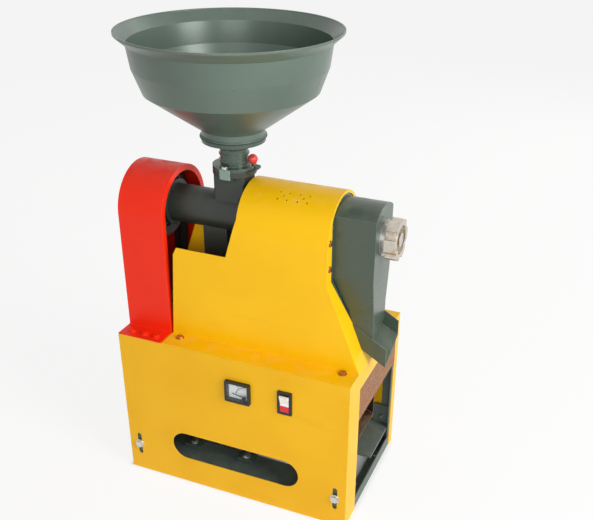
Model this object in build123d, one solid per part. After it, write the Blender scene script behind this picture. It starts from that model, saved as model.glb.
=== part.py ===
from build123d import *
import os
from math import asin, cos, degrees, pi, radians, sin, sqrt, tan

# Small rice huller: a sheet-steel cabinet with a motor, a roller mill head on its deck,
# a belt guard, a hood, a feed hopper and a pressure-regulated rice outlet.
# Millimetres. +Z up, X along the mill shaft, front at -Y.
# The origin is on the floor, at the centre of the four anchor holes.

# Clearances
running_gap = 0.3
shaft_gap = 0.08
hole_gap = 0.4
seat_gap = 0.3

# Hex heads, as shares of the bolt's radius
head_ratio = 1.9
head_height_ratio = 1.3

# Cabinet
cabinet_width = 590.0
front_reach = 150.0
back_reach = 218.0
cabinet_height = 400.0
sheet = 2.0
deck_thickness = 3.0
front_return = 69.0
back_return = 25.0
deck_skirt = 45.0
side_panel_height = 88.0
angle_leg = 30.0
angle_wall = 3.0
anchor_spacing_y = 263.0
anchor_hole_radius = 5.5
deck_bolt_radius = 4.0
deck_bolt_length = 14.0
foot_bolt_length = 22.0
bracket_bolt_length = 20.0
louvre_rows = 6
louvre_pitch = 22.0
louvre_height = 6.0
louvre_half = 50.0
louvre_x = 75.0
louvre_drop = 197.0
panel_inset = 4.0

# Front window and the height slots of the motor beams
window_centre_x = 3.0
window_centre_z = 112.0
window_length = 340.0
window_height = 76.0
beam_slot_inset = 28.0
beam_slot_bottom = 47.0
beam_slot_top = 111.0
beam_slot_width = 12.0
beam_bolt_radius = 5.0

# Mill line
mill_rise = 298.0
feed_inset = 250.0

# Motor beams and motor
beam_top = 60.0
beam_plate = 6.0
beam_web = 50.0
beam_tab_width = 44.0
beam_end_gap = 2.0
beam_tab_rise = 3.0
beam_foot_margin = 25.0
beam_bolt_grip = 6.0
motor_bolt_grip = 8.0
motor_foot_height = 100.0
motor_bolt_inset = 148.0
motor_bolt_spacing = 150.0
motor_bolt_y = 80.0
motor_foot_thickness = 12.0
motor_foot_length = 40.0
foot_pad_in = 22.0
foot_pad_out = 16.0
foot_web_half = 8.0
foot_web_inner = 40.0
foot_web_outer = 66.0
foot_web_drop = 30.0
stator_inset = 107.0
stator_length = 240.0
stator_radius = 84.0
stator_bore = 62.0
fin_height = 8.0
fin_width = 4.0
fin_count = 24
fin_end = 6.0
finless_low = (200.0, 340.0)
finless_top = (65.0, 115.0)
saddle_half = 40.0
saddle_from_left = 18.0
saddle_length = 100.0
air_gap = 0.5
rotor_core_length = 170.0
motor_shaft_radius = 14.0
motor_bearing_seat = 15.0
motor_bearing_outer = 31.0
motor_bearing_width = 16.0
bearing_inset = 1.0
seal_lip = 1.0
motor_shaft_inset = 25.0
shield_thickness = 18.0
shield_radius = 88.0
shield_rim = 10.0
shield_spigot = 5.0
shield_hub = 8.0
shaft_neck_left = 2.0
shaft_tail = 22.0
fan_seat = 20.0
fan_seat_radius = 10.0
cowl_length = 46.0
cowl_wall = 1.5
cowl_slots = 10
cowl_overlap = 10.0
cowl_slot_inner = 24.0
cowl_slot_margin = 16.0
cowl_slot_half = 5.0
fan_radius = 70.0
fan_blades = 8
fan_gap = 3.0
fan_hub_radius = 22.0
fan_width = 16.0
fan_disc = 2.5
blade_half = 1.25
terminal_box_length = 96.0
terminal_box_width = 74.0
terminal_box_height = 44.0
terminal_box_from_left = 68.0
lid_height = 7.0
lid_overhang = 2.0
lid_corner = 6.0
gland_radius = 9.0
gland_length = 14.0
gland_height = 20.0
capacitor_radius = 24.0
capacitor_length = 50.0
capacitor_from_left = 128.0
capacitor_foot_half = 10.0
capacitor_foot_inset = 10.0

# Belt drive
pulley_inset = 37.0
pulley_width = 40.0
groove_pitch = 19.0
groove_depth = 15.0
groove_top = 17.0
groove_angle = 36.0
web_recess = 13.0
web_rim = 7.0
pulley_hub_radius = 28.0
mill_bore = 14.0
shaft_end_radius = 12.5
shaft_end_length = 12.0
nut_radius = 21.0
nut_height = 8.0
nut_washer_radius = 24.0
nut_washer = 2.0
pitch_depth = 5.0
mill_pitch_radius = 79.0
motor_pitch_radius = 39.5
belt_height = 10.5
belt_sink = 1.0
belt_hole_inset = 8.0
belt_hole_margin = 8.0

# Belt guard
guard_width = 115.0
guard_margin = 15.0
guard_arch_drop = 10.0
guard_lip = 14.0
guard_sheet = 2.0
guard_rear_flange = 26.0
guard_bolts_front = (26.0, 60.0, 92.0)
guard_bolts_rear = (26.0, 92.0)
guard_bolt_edge = 20.0
guard_bolt_out = 14.0

# Hood
hood_half = 95.0
hood_arch_drop = 8.0
hood_foot_inset = 119.0
hood_left_lean = 15.0
hood_right_inset = 81.0
hood_kink_drop = 93.0
hood_foot_overhang = 1.0
hood_step_rise = 228.0
hood_step_inset = 268.0
hood_rise_inset = 295.0
hood_rise_top = 320.0
hood_flange_foot = 80.0
vent_radius = 2.0
vent_insets = (122.0, 76.0)
vent_pattern = ((0, 0), (-11, 6), (11, 6), (-11, -6), (11, -6))
vent_angle = 62.0
vent_depth = 12.0
hood_bolt_inset = 28.0
hood_bolt_out = 17.0
hood_front_bolt = 36.0
hood_front_bolt_out = 10.0
hood_rear_bolt = 96.0
hood_rear_flange = 30.0
hood_rear_short = 60.0
hood_step_chamfer = 18.0
hood_mouth_drop = 10.0
hood_mouth_rise = 7.0
hood_reach = 30.0

# Mill head
barrel_inset = 99.0
barrel_radius = 44.0
bearing_outer = 36.0
bearing_inner = 17.5
bearing_width = 17.0
left_bearing_inset = 4.0
bearing_spacing = 60.0
cover_radius = 54.0
cover_thickness = 14.0
cover_bolt_ring = 44.0
cover_bolt_head = 5.0
cover_bolt_rise = 3.0
shaft_collar = 20.5
shaft_collar_length = 6.0
shaft_thread = 11.0
shaft_thread_end = 1.5
casting_inset = 195.0
casting_length = 91.0
chamber_radius = 36.0
chamber_wall = 9.0
column_inset = 180.0
column_length = 60.0
column_half = 30.0
foot_left_margin = 22.0
foot_right_margin = 20.0
foot_half = 54.0
foot_thickness = 12.0
foot_corner = 8.0
foot_bolt_half = 40.0
throat_reach_left = 39.0
throat_reach_right = 36.0
throat_half = 30.0
throat_wall = 6.0
throat_corner = 5.0
throat_rise = 105.0
throat_flange_thickness = 9.0
throat_pad_shift = 11.0
throat_pad_length = 25.0
throat_pad_height = 13.0
throat_pad_proud = 4.0
flange_bolt_radius = 3.5
flange_bolt_half = 42.0
flange_bolt_shift = 3.0
flange_bolt_length = 24.0
screw_core = 22.0
screw_radius = 35.0
screw_pitch = 60.0
screw_steps = 5
screw_taper = 0.55
screw_flight = 6.0
screw_inset = 8.0
screw_beyond = 5.0
roller_gap = 4.0
roller_end = 22.0
roller_radius = 28.5
rib_height = 3.5
rib_width = 8.0
rib_count = 4
tail_radius = 15.0
nut_flats = 34.0
nut_length = 11.0
screen_flat = 38.0
screen_wall = 1.5
screen_slot_length = 26.0
screen_slot_width = 1.6
screen_slots = 5
screen_end = 12.0
screen_row = 9.0
screen_lean = 20.0
screen_reach = 3.0
blade_gap_left = 4.0
blade_gap_right = 8.0
frame_bar = 9.0
frame_ring_radius = 56.0
frame_ring_length = 12.0
bracket_gap = 4.0
bracket_thickness = 10.0
bracket_half = 34.0
bracket_foot_half = 50.0
bracket_foot_back = 28.0
bracket_foot_thickness = 10.0
bracket_bolt_half = 36.0
bracket_bolt_back = 14.0
blade_thickness = 6.0
stand_sheet_front = -8.0
stand_sheet_back = -3.0
stand_corner_rise = 182.0
stand_top_inset = 146.0
stand_foot_half = 40.0
stand_foot_thickness = 5.0
blade_clearance = 1.5
blade_outer = 60.0
blade_bolt_radius = 3.5
blade_bolt_y = 54.0
blade_bolt_inset = 40.0
holder_inner = 49.0
holder_outer = 61.0
holder_height = 12.0

# Feed gate and collar
gate_slot = 3.6
gate_thickness = 3.0
gate_half = 28.0
gate_travel = 50.0
gate_reach_left = 27.0
gate_reach_right = 55.0
gate_corner = 12.0
gate_knob_reach = 45.0
gate_knob_radius = 11.0
gate_knob_rise = 25.0
gate_knob_flat = 10.5
ball_rings = 7
gate_pin_radius = 3.0
collar_bore = 24.0
collar_neck = 31.0
collar_foot_radius = 48.5
collar_foot_thickness = 6.0
collar_bead = 2.5
collar_bead_low = 14.0
collar_bead_high = 28.0
collar_bead_height = 4.0
collar_neck_height = 42.0
collar_cone_drop = 4.0
collar_cone_in = 12.0
collar_lip = 8.0
collar_ring_radius = 70.0
collar_ring_rise = 63.0
collar_ring_thickness = 10.0
collar_pin_room = 1.0

# Hopper
hopper_wall = 2.0
hopper_flange_radius = 72.0
hopper_neck_radius = 69.0
hopper_band = 16.0
hopper_foot_thickness = 3.0
hopper_corner_radius = 187.0
hopper_corner_rise = 99.0
hopper_waist_radius = 206.0
hopper_waist_rise = 150.0
hopper_wall_radius = 213.0
hopper_wall_rise = 198.0
hopper_rim_radius = 236.0
hopper_rim_rise = 222.0
hopper_rim_depth = 4.0

# Outlet housing, regulator and spout
end_wall_sheet = 2.0
wall_bolt_rises = (-58.0, 2.0)
wall_bolt_length = 9.0
wall_bolt_radius = 3.0
wall_bolt_half = 82.0
outlet_hole_margin = 5.0
outlet_half = 57.0
outlet_foot_half = 42.0
outlet_overhang = 10.0
outlet_shoulder_rise = 54.0
outlet_crest_rise = 74.0
outlet_margin = 13.0
outlet_wall = 3.0
boss_clearance = 1.5
outlet_waist_rise = 125.0
outlet_hip_rise = 210.0
outlet_lip = 22.0
boss_radius = 30.0
boss_flange_radius = 40.0
boss_length = 13.0
boss_flange_thickness = 4.0
plate_back = 10.5
plate_reach = 28.0
spring_room = 40.0
spring_collar = 6.0
spindle_beyond = 20.0
spindle_radius = 8.0
spindle_pitch = 4.0
spindle_travel = 7.5
plate_radius = 39.0
plate_bevel = 14.0
plate_hub = 6.0
spring_radius = 16.0
spring_wire = 3.5
spring_turns = 3
spring_sides = 8
knob_radius = 45.5
knob_length = 25.0
knob_lobes = 6
knob_scoop_radius = 12.0
knob_scoop_ring = 51.0
knob_rim = 14.0
knob_hub = 15.0
knob_recess = 7.0
knob_cap = 4.0
spout_wall = 2.0
spout_floor_rise = 41.5
spout_roll = 0.42
spout_back_height = 38.0
spout_front_height = 46.0
spout_length = 34.0
spout_slope = 0.60

# Bran side
bran_inset = 20.0
bran_end = 16.0
bran_half = 62.0
bran_mouth_inset = 9.0
bran_floor_share = 0.55
bran_mouth_rise = 28.0
bran_mouth_height = 72.0
bran_hole_right = 20.0
bran_hole_front = 6.0
bran_wall = 1.5
bran_lip = 8.0

# Meter and switch
meter_x = 22.0
meter_drop = 82.0
meter_width = 64.0
meter_height = 56.0
meter_depth = 34.0
meter_proud = 9.0
meter_border = 6.0
meter_corner = 3.0
body_inset = 5.0
meter_room = 4.0
dial_thickness = 1.5
window_recess = 1.0
window_thickness = 2.0
needle_plane = 1.0
needle_half = 0.5
needle_width = 1.0
needle_rise = 5.8
needle_tip = 0.4
needle_hub = 3.0
needle_pin = 1.2
needle_length = 34.0
needle_corner = 9.0
switch_x = 140.0
switch_drop = 80.5
switch_width = 36.0
switch_height = 62.0
switch_depth = 30.0
switch_proud = 4.0
switch_border = 4.0
switch_corner = 2.5
switch_well = 3.0
switch_well_depth = 16.0
rocker_rise = 5.0
rocker_root = 9.0
rocker_face = 3.0
rocker_valley = 4.0
rocker_neck = 0.55
rocker_end_gap = 1.5
rocker_pivot = 1.0
rocker_tilt = 9.0

# Worked-out values
half_width = cabinet_width / 2
left_x, right_x = -half_width, half_width
beam_slot_x = half_width - beam_slot_inset
front_y = -front_reach
back_y = back_reach
frame_x = half_width - sheet
frame_front = front_y + sheet
frame_back = back_y - sheet
side_gap_front = front_y + front_return + seat_gap
side_gap_back = back_y - back_return - seat_gap
anchor_x = frame_x - (angle_leg + angle_wall) / 2
anchors = [(sx * anchor_x, sy * anchor_spacing_y / 2) for sx in (-1, 1) for sy in (-1, 1)]
deck_under = cabinet_height - deck_thickness
motor_axis = beam_top + motor_foot_height
shaft_height = cabinet_height + mill_rise
guard_arch_centre = shaft_height - guard_arch_drop
hood_arch_centre = shaft_height - hood_arch_drop
hood_kink = shaft_height - hood_kink_drop
hood_step_height = cabinet_height + hood_step_rise
hood_rise_z = cabinet_height + hood_rise_top
throat_top = shaft_height + throat_rise
throat_mouth = throat_top - throat_flange_thickness
gate_knob_height = throat_top + gate_knob_rise
collar_ring_bottom = throat_top + collar_ring_rise
collar_ring_top = collar_ring_bottom + collar_ring_thickness
hopper_rim_z = collar_ring_top + hopper_rim_rise
outlet_shoulder = shaft_height + outlet_shoulder_rise
outlet_crest = shaft_height + outlet_crest_rise
outlet_waist_z = cabinet_height + outlet_waist_rise
outlet_hip_z = cabinet_height + outlet_hip_rise
meter_z = cabinet_height - meter_drop
switch_z = cabinet_height - switch_drop
stator_left = left_x + stator_inset
stator_right = stator_left + stator_length
motor_shaft_end = left_x + motor_shaft_inset
motor_bolt_x = left_x + motor_bolt_inset
motor_top = motor_axis + stator_radius + fin_height
pulley_left = left_x + pulley_inset
pulley_right = pulley_left + pulley_width
pulley_mid = (pulley_left + pulley_right) / 2
mill_pulley_radius = mill_pitch_radius + pitch_depth
motor_pulley_radius = motor_pitch_radius + pitch_depth
guard_left = left_x
guard_half = mill_pulley_radius + guard_margin
belt_hole_half = mill_pulley_radius - belt_hole_inset
guard_right = guard_left + guard_width
feed_x = left_x + feed_inset
hood_left_foot = left_x + hood_foot_inset
hood_left_top = hood_left_foot + hood_left_lean
hood_step_x = left_x + hood_step_inset
hood_rise_x = left_x + hood_rise_inset
hood_right = right_x - hood_right_inset
hood_right_foot = right_x + hood_foot_overhang
outlet_right = right_x + outlet_overhang
spout_end = outlet_right + spout_length
barrel_left = left_x + barrel_inset
left_bearing_x = barrel_left + left_bearing_inset
right_bearing_x = left_bearing_x + bearing_spacing
casting_left = left_x + casting_inset
casting_right = casting_left + casting_length
column_left = left_x + column_inset
column_right = column_left + column_length
throat_left = feed_x - throat_reach_left
throat_right = feed_x + throat_reach_right
throat_pad_left = feed_x - throat_pad_shift
throat_pad_right = throat_pad_left + throat_pad_length
stand_top_x = left_x + stand_top_inset
screw_left = casting_left + screw_inset
screw_right = casting_right + screw_beyond
roller_left = screw_right + roller_gap
roller_right = hood_right - roller_end
gate_left = feed_x - gate_reach_left
gate_tip = feed_x + gate_reach_right
gate_knob_x = feed_x + gate_knob_reach
bran_left = roller_left + bran_inset
bran_right = roller_right - bran_end
bran_mouth_x = right_x - bran_mouth_inset
beyond_x = spout_end + hood_reach
above_mill = hopper_rim_z
bracket_left = roller_right + bracket_gap
bracket_right = bracket_left + bracket_thickness
end_wall_x = hood_right - sheet - end_wall_sheet
gate_bottom = throat_top + (gate_slot - gate_thickness) / 2
collar_bottom = throat_top + gate_slot
blade_tip = roller_radius + rib_height + blade_clearance
pivot_x = meter_x + meter_width / 2 - meter_border - needle_corner
pivot_z = meter_z - meter_height / 2 + meter_border + needle_corner

# Bolt places, as (x, y) seen from above
motor_bolts_x = (motor_bolt_x, motor_bolt_x + motor_bolt_spacing)
guard_bolt_places = [(guard_left + d, front_y + guard_bolt_edge) for d in guard_bolts_front]
guard_bolt_places += [(guard_left + d, guard_half + guard_bolt_out) for d in guard_bolts_rear]
hood_bolt_places = [(hood_left_foot + hood_bolt_inset, -hood_half - hood_bolt_out),
                    (hood_right_foot - hood_front_bolt, -hood_half - hood_front_bolt_out),
                    (hood_left_foot + hood_bolt_inset, hood_half + hood_bolt_out),
                    (hood_right_foot - hood_rear_bolt, hood_half + hood_bolt_out)]
foot_bolt_places = [(x, sy * foot_bolt_half)
                    for x in (column_left - foot_left_margin / 2, column_right + foot_right_margin / 2)
                    for sy in (-1, 1)]
bracket_bolt_places = [(bracket_left - bracket_bolt_back, sy * bracket_bolt_half) for sy in (-1, 1)]
flange_bolt_places = [(feed_x - flange_bolt_shift, sy * flange_bolt_half) for sy in (-1, 1)]
wall_bolt_places = [(hood_right, sy * wall_bolt_half, shaft_height + rise)
                    for rise in wall_bolt_rises for sy in (-1, 1)]


def block(x0, x1, y0, y1, z0, z1):
    """Box between two corners."""
    middle = ((x0 + x1) / 2, (y0 + y1) / 2, (z0 + z1) / 2)
    return Pos(*middle) * Box(x1 - x0, y1 - y0, z1 - z0)


def rod_x(radius, x0, x1, y=0.0, z=0.0):
    """Cylinder along X."""
    return Pos((x0 + x1) / 2, y, z) * Rot(0, 90, 0) * Cylinder(radius, x1 - x0)


def rod_y(radius, y0, y1, x=0.0, z=0.0):
    """Cylinder along Y."""
    return Pos(x, (y0 + y1) / 2, z) * Rot(90, 0, 0) * Cylinder(radius, y1 - y0)


def rod_z(radius, z0, z1, x=0.0, y=0.0):
    """Cylinder along Z."""
    return Pos(x, y, (z0 + z1) / 2) * Cylinder(radius, z1 - z0)


def turned_x(profile, z=0.0, y=0.0):
    """Solid of revolution about a line along X; the profile holds (x, radius) points."""
    outline = make_face(Polyline(*[(x, 0, r) for x, r in profile], close=True))
    return Pos(0, y, z) * revolve(outline, Axis.X)


def turned_z(profile, x=0.0, y=0.0):
    """Solid of revolution about a line along Z; the profile holds (radius, z) points."""
    outline = make_face(Polyline(*[(r, 0, z) for r, z in profile], close=True))
    return Pos(x, y, 0) * revolve(outline, Axis.Z)


def plate_xz(points, y0, y1):
    """Plate with an outline of (x, z) points, between two y planes."""
    outline = make_face(Polyline(*[(x, y0, z) for x, z in points], close=True))
    return extrude(outline, amount=y1 - y0, dir=(0, 1, 0))


def plate_yz(points, x0, x1):
    """Plate with an outline of (y, z) points, between two x planes."""
    outline = make_face(Polyline(*[(x0, y, z) for y, z in points], close=True))
    return extrude(outline, amount=x1 - x0, dir=(1, 0, 0))


def arch(half, base, centre, x0, x1):
    """Round-topped block along X, standing on a base height."""
    sides = [
        Line((x0, -half, base), (x0, -half, centre)),
        ThreePointArc((x0, -half, centre), (x0, 0, centre + half), (x0, half, centre)),
        Line((x0, half, centre), (x0, half, base)),
        Line((x0, half, base), (x0, -half, base)),
    ]
    return extrude(make_face(sides), amount=x1 - x0, dir=(1, 0, 0))


def hex_bolt(radius, length):
    """Hex bolt pointing down -Z with its head's seat at z=0, as one solid."""
    head = extrude(RegularPolygon(head_ratio * radius, 6), amount=head_height_ratio * radius)
    return head + rod_z(radius, -length, 0)


def bolts_down(places, z, radius, length):
    """Bolts pressed on a level face, one for each (x, y)."""
    return [Pos(x, y, z) * hex_bolt(radius, length) for x, y in places]


def holes_down(places, z0, z1, radius):
    """Clearance holes along Z for bolts of a radius."""
    return [rod_z(radius + hole_gap, z0, z1, x, y) for x, y in places]


def cut(solid, tools):
    """Solid less each of the tools."""
    for tool in tools:
        solid = solid - tool
    return solid


def group(solids):
    """Separate solids kept side by side as one node."""
    return Compound(children=[s.solid() if hasattr(s, "solid") else s for s in solids])


# Cabinet frame and panels
def slot_along_y(x, z0, z1, width, y0, y1):
    """Upright slot cutter with round ends, running along Y."""
    r = width / 2
    middle = block(x - r, x + r, y0, y1, z0 + r, z1 - r)
    return middle + rod_y(r, y0, y1, x, z0 + r) + rod_y(r, y0, y1, x, z1 - r)


def height_slots():
    """Cutters for the upright slots that the motor beams are bolted through."""
    return [
        slot_along_y(sx * beam_slot_x, beam_slot_bottom, beam_slot_top, beam_slot_width,
                     front_y - 1, back_y + 1)
        for sx in (-1, 1)
    ]


def base_frame():
    """Welded angle-iron frame: four posts and eight rails, with anchor holes below."""
    parts = []
    sides = [(sx, frame_x) for sx in (-1, 1)]
    faces = ((-1, frame_front), (1, frame_back))
    for sx, x_reach in sides:
        x_out = sx * x_reach
        x_in, x_wall = x_out - sx * angle_leg, x_out - sx * angle_wall
        for sy, y_out in faces:
            y_in, y_wall = y_out - sy * angle_leg, y_out - sy * angle_wall
            parts.append(block(*sorted((x_out, x_in)), *sorted((y_out, y_wall)), 0, deck_under))
            parts.append(block(*sorted((x_out, x_wall)), *sorted((y_out, y_in)), 0, deck_under))
    levels = ((0, angle_wall, 0, angle_leg),
              (deck_under - angle_wall, deck_under, deck_under - angle_leg, deck_under))
    for flat0, flat1, web0, web1 in levels:
        for sy, y_out in faces:
            flat = sorted((y_out, y_out - sy * angle_leg))
            web = sorted((y_out, y_out - sy * angle_wall))
            parts.append(block(-frame_x, frame_x, *flat, flat0, flat1))
            parts.append(block(-frame_x, frame_x, *web, web0, web1))
        for sx, x_reach in sides:
            x_out = sx * x_reach
            flat = sorted((x_out, x_out - sx * angle_leg))
            web = sorted((x_out, x_out - sx * angle_wall))
            parts.append(block(*flat, frame_front, frame_back, flat0, flat1))
            parts.append(block(*web, frame_front, frame_back, web0, web1))
    frame = parts[0]
    for piece in parts[1:]:
        frame = frame + piece
    frame = cut(frame, [rod_z(anchor_hole_radius, -1, angle_wall + 1, x, y) for x, y in anchors])
    deck_places = guard_bolt_places + hood_bolt_places
    frame = cut(frame, holes_down(deck_places, deck_under - angle_leg, deck_under + 1, deck_bolt_radius))
    return cut(frame, height_slots())


def front_panel():
    """Folded front sheet with deep side returns, the window, slots and instrument holes."""
    face = block(-half_width, half_width, front_y, front_y + sheet, 0, deck_under)
    for sx in (-1, 1):
        side = sorted((sx * half_width, sx * (half_width - sheet)))
        face = face + block(*side, front_y, front_y + front_return, 0, deck_under)
    r = window_height / 2
    x0 = window_centre_x - window_length / 2 + r
    x1 = window_centre_x + window_length / 2 - r
    y0, y1 = front_y - 1, front_y + sheet + 1
    window = block(x0, x1, y0, y1, window_centre_z - r, window_centre_z + r)
    window = window + rod_y(r, y0, y1, x0, window_centre_z) + rod_y(r, y0, y1, x1, window_centre_z)
    meter_hole = block(
        meter_x - meter_width / 2 + panel_inset, meter_x + meter_width / 2 - panel_inset, y0, y1,
        meter_z - meter_height / 2 + panel_inset, meter_z + meter_height / 2 - panel_inset)
    switch_hole = block(
        switch_x - switch_width / 2 + panel_inset, switch_x + switch_width / 2 - panel_inset, y0, y1,
        switch_z - switch_height / 2 + panel_inset, switch_z + switch_height / 2 - panel_inset)
    return cut(face, [window, meter_hole, switch_hole] + height_slots())


def back_panel():
    """Folded back sheet with short side returns and two rows of cooling louvre slots."""
    face = block(-half_width, half_width, back_y - sheet, back_y, 0, deck_under)
    for sx in (-1, 1):
        side = sorted((sx * half_width, sx * (half_width - sheet)))
        face = face + block(*side, back_y - back_return, back_y, 0, deck_under)
    louvres = []
    for row in range(louvre_rows):
        z = deck_under - louvre_drop + louvre_pitch * row
        for sx in (-1, 1):
            x = sx * louvre_x
            louvres.append(block(x - louvre_half, x + louvre_half, back_y - sheet - 1, back_y + 1,
                                 z, z + louvre_height))
    return cut(face, louvres + height_slots())


def left_panel():
    """Plain sheet between the front and back returns."""
    y0, y1 = side_gap_front, side_gap_back
    return block(-half_width, -half_width + sheet, y0, y1, 0, deck_under)


def side_panel():
    """Short galvanised sheet under the deck skirt, above the open bran bay."""
    top = cabinet_height - deck_skirt - seat_gap
    return block(half_width - sheet, half_width, side_gap_front, side_gap_back,
                 top - side_panel_height, top)


def deck_plate():
    """Deck with a skirt on its right side, a belt opening and a bran opening."""
    deck = block(-half_width, half_width, front_y, back_y, deck_under, cabinet_height)
    skirt = block(half_width - sheet, half_width, side_gap_front, side_gap_back,
                  cabinet_height - deck_skirt, deck_under)
    low, high = deck_under - 1, cabinet_height + 1
    belts = block(pulley_left - belt_hole_margin, pulley_right + belt_hole_margin,
                  -belt_hole_half, belt_hole_half, low, high)
    bran = block(bran_left, bran_right - bran_hole_right,
                 -bran_half + bran_hole_front, bran_half - bran_hole_front, low, high)
    places = guard_bolt_places + hood_bolt_places + foot_bolt_places + bracket_bolt_places
    return cut(deck + skirt, [belts, bran] + holes_down(places, low, high, deck_bolt_radius))


# Motor beams
def motor_beam(sy):
    """Angle beam along X with an upright tab at each end, for the front or the back."""
    y_out = frame_front + angle_wall if sy < 0 else frame_back - angle_wall
    reach = frame_x - angle_wall - beam_end_gap
    flat = sorted((y_out, sy * (motor_bolt_y - beam_foot_margin)))
    web = sorted((y_out, y_out - sy * beam_plate))
    beam = block(-reach, reach, *flat, beam_top - beam_plate, beam_top)
    beam = beam + block(-reach, reach, *web, beam_top - beam_web, beam_top)
    slot_mid = (beam_slot_bottom + beam_slot_top) / 2
    for sx in (-1, 1):
        tab = sorted((sx * reach, sx * (reach - beam_tab_width)))
        beam = beam + block(*tab, *web, beam_top - beam_plate, beam_slot_top + beam_tab_rise)
        y0, y1 = sorted((y_out + sy, y_out - sy * (beam_plate + 1)))
        beam = beam - rod_y(beam_bolt_radius + hole_gap, y0, y1, sx * beam_slot_x, slot_mid)
    for x in motor_bolts_x:
        beam = beam - rod_z(beam_bolt_radius + hole_gap, beam_top - beam_plate - 1, beam_top + 1,
                            x, sy * motor_bolt_y)
    return beam


def motor_bolts():
    """Equal bolts: four hold the beams in the panels' height slots, four the motor's feet."""
    slot_mid = (beam_slot_bottom + beam_slot_top) / 2
    length = sheet + angle_wall + beam_plate + beam_bolt_grip
    bolts = []
    for sx in (-1, 1):
        for y, turn in ((front_y, Rot(90, 0, 0)), (back_y, Rot(-90, 0, 0))):
            bolts.append(Pos(sx * beam_slot_x, y, slot_mid) * turn * hex_bolt(beam_bolt_radius, length))
    places = [(x, sy * motor_bolt_y) for x in motor_bolts_x for sy in (-1, 1)]
    top = beam_top + motor_foot_thickness
    bolts += bolts_down(places, top, beam_bolt_radius, motor_foot_thickness + beam_plate + motor_bolt_grip)
    return group(bolts)


# Motor
def stator_housing():
    """Finned stator frame with four feet and a flat for the terminal box."""
    body = rod_x(stator_radius, stator_left, stator_right, 0, motor_axis)
    fin = block(stator_left + fin_end, stator_right - fin_end, stator_radius - 2, stator_radius + fin_height,
                -fin_width / 2, fin_width / 2)
    for i in range(fin_count):
        angle = 360.0 / fin_count * (i + 0.5)
        low = finless_low[0] < angle < finless_low[1]
        top = finless_top[0] < angle < finless_top[1]
        if not low and not top:
            body = body + Pos(0, 0, motor_axis) * Rot(angle, 0, 0) * fin
    saddle_left = stator_left + saddle_from_left
    body = body + block(saddle_left, saddle_left + saddle_length, -saddle_half, saddle_half,
                        motor_axis + saddle_half, motor_top)
    foot_top = beam_top + motor_foot_thickness
    for x in motor_bolts_x:
        for sy in (-1, 1):
            y0, y1 = sorted((sy * (motor_bolt_y - foot_pad_in), sy * (motor_bolt_y + foot_pad_out)))
            pad = block(x - motor_foot_length / 2, x + motor_foot_length / 2, y0, y1, beam_top, foot_top)
            w0, w1 = sorted((sy * foot_web_inner, sy * foot_web_outer))
            web = block(x - foot_web_half, x + foot_web_half, w0, w1, beam_top + 2,
                        motor_axis - foot_web_drop)
            hole = rod_z(beam_bolt_radius + hole_gap, beam_top - 1, foot_top + 1, x, sy * motor_bolt_y)
            body = body + pad + web - hole
    return body - rod_x(stator_bore, stator_left - 1, stator_right + 1, 0, motor_axis)


def end_shield(side):
    """Motor end shield with a spigot and a bearing seat; side is -1 left or 1 right."""
    face = stator_left if side < 0 else stator_right
    out = face + side * shield_thickness
    spigot = face - side * shield_spigot
    seat_out = face + side * (bearing_inset + motor_bearing_width + shaft_gap)
    lip = motor_bearing_seat + seal_lip
    seat = motor_bearing_outer + shaft_gap
    profile = [
        (spigot, stator_bore - shaft_gap), (face, stator_bore - shaft_gap), (face, shield_radius),
        (face + side * shield_rim, shield_radius), (out, motor_bearing_outer + shield_hub), (out, lip),
        (seat_out, lip), (seat_out, seat), (spigot, seat),
    ]
    return turned_x(profile, motor_axis)


def motor_bearing(side):
    """Ball bearing of the motor, in its end shield."""
    face = stator_left if side < 0 else stator_right
    start = face + side * bearing_inset
    end = start + side * motor_bearing_width
    return bearing_ring(min(start, end), motor_bearing_width, motor_bearing_seat, motor_bearing_outer,
                        motor_axis)


def bearing_ring(x0, width, inner, outer, z):
    """Closed ball bearing as a plain ring."""
    x1 = x0 + width
    return turned_x([(x0, inner), (x0, outer), (x1, outer), (x1, inner)], z)


def motor_shaft():
    """Motor shaft with its rotor core."""
    middle = (stator_left + stator_right) / 2
    c0, c1 = middle - rotor_core_length / 2, middle + rotor_core_length / 2
    s0 = stator_left - shield_thickness - shaft_neck_left
    s1 = stator_right + shield_thickness + shaft_tail
    core = stator_bore - air_gap
    neck = motor_bearing_seat - shaft_gap
    profile = [
        (motor_shaft_end, 0), (motor_shaft_end, motor_shaft_radius), (s0, motor_shaft_radius),
        (s0, neck), (c0, neck), (c0, core), (c1, core), (c1, neck),
        (s1 - fan_seat, neck), (s1 - fan_seat, fan_seat_radius), (s1, fan_seat_radius), (s1, 0),
    ]
    return turned_x(profile, motor_axis)


def motor_fan():
    """Cooling fan on the motor's rear shaft end."""
    x0 = stator_right + shield_thickness + fan_gap
    hub = rod_x(fan_hub_radius, x0, x0 + fan_width, 0, motor_axis)
    fan = hub + rod_x(fan_radius, x0, x0 + fan_disc, 0, motor_axis)
    blade = block(x0 + 1, x0 + fan_width, fan_hub_radius - 2, fan_radius - 1, -blade_half, blade_half)
    for i in range(fan_blades):
        fan = fan + Pos(0, 0, motor_axis) * Rot(360.0 / fan_blades * i, 0, 0) * blade
    return fan - rod_x(fan_seat_radius + shaft_gap, x0 - 1, x0 + fan_width + 1, 0, motor_axis)


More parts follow.
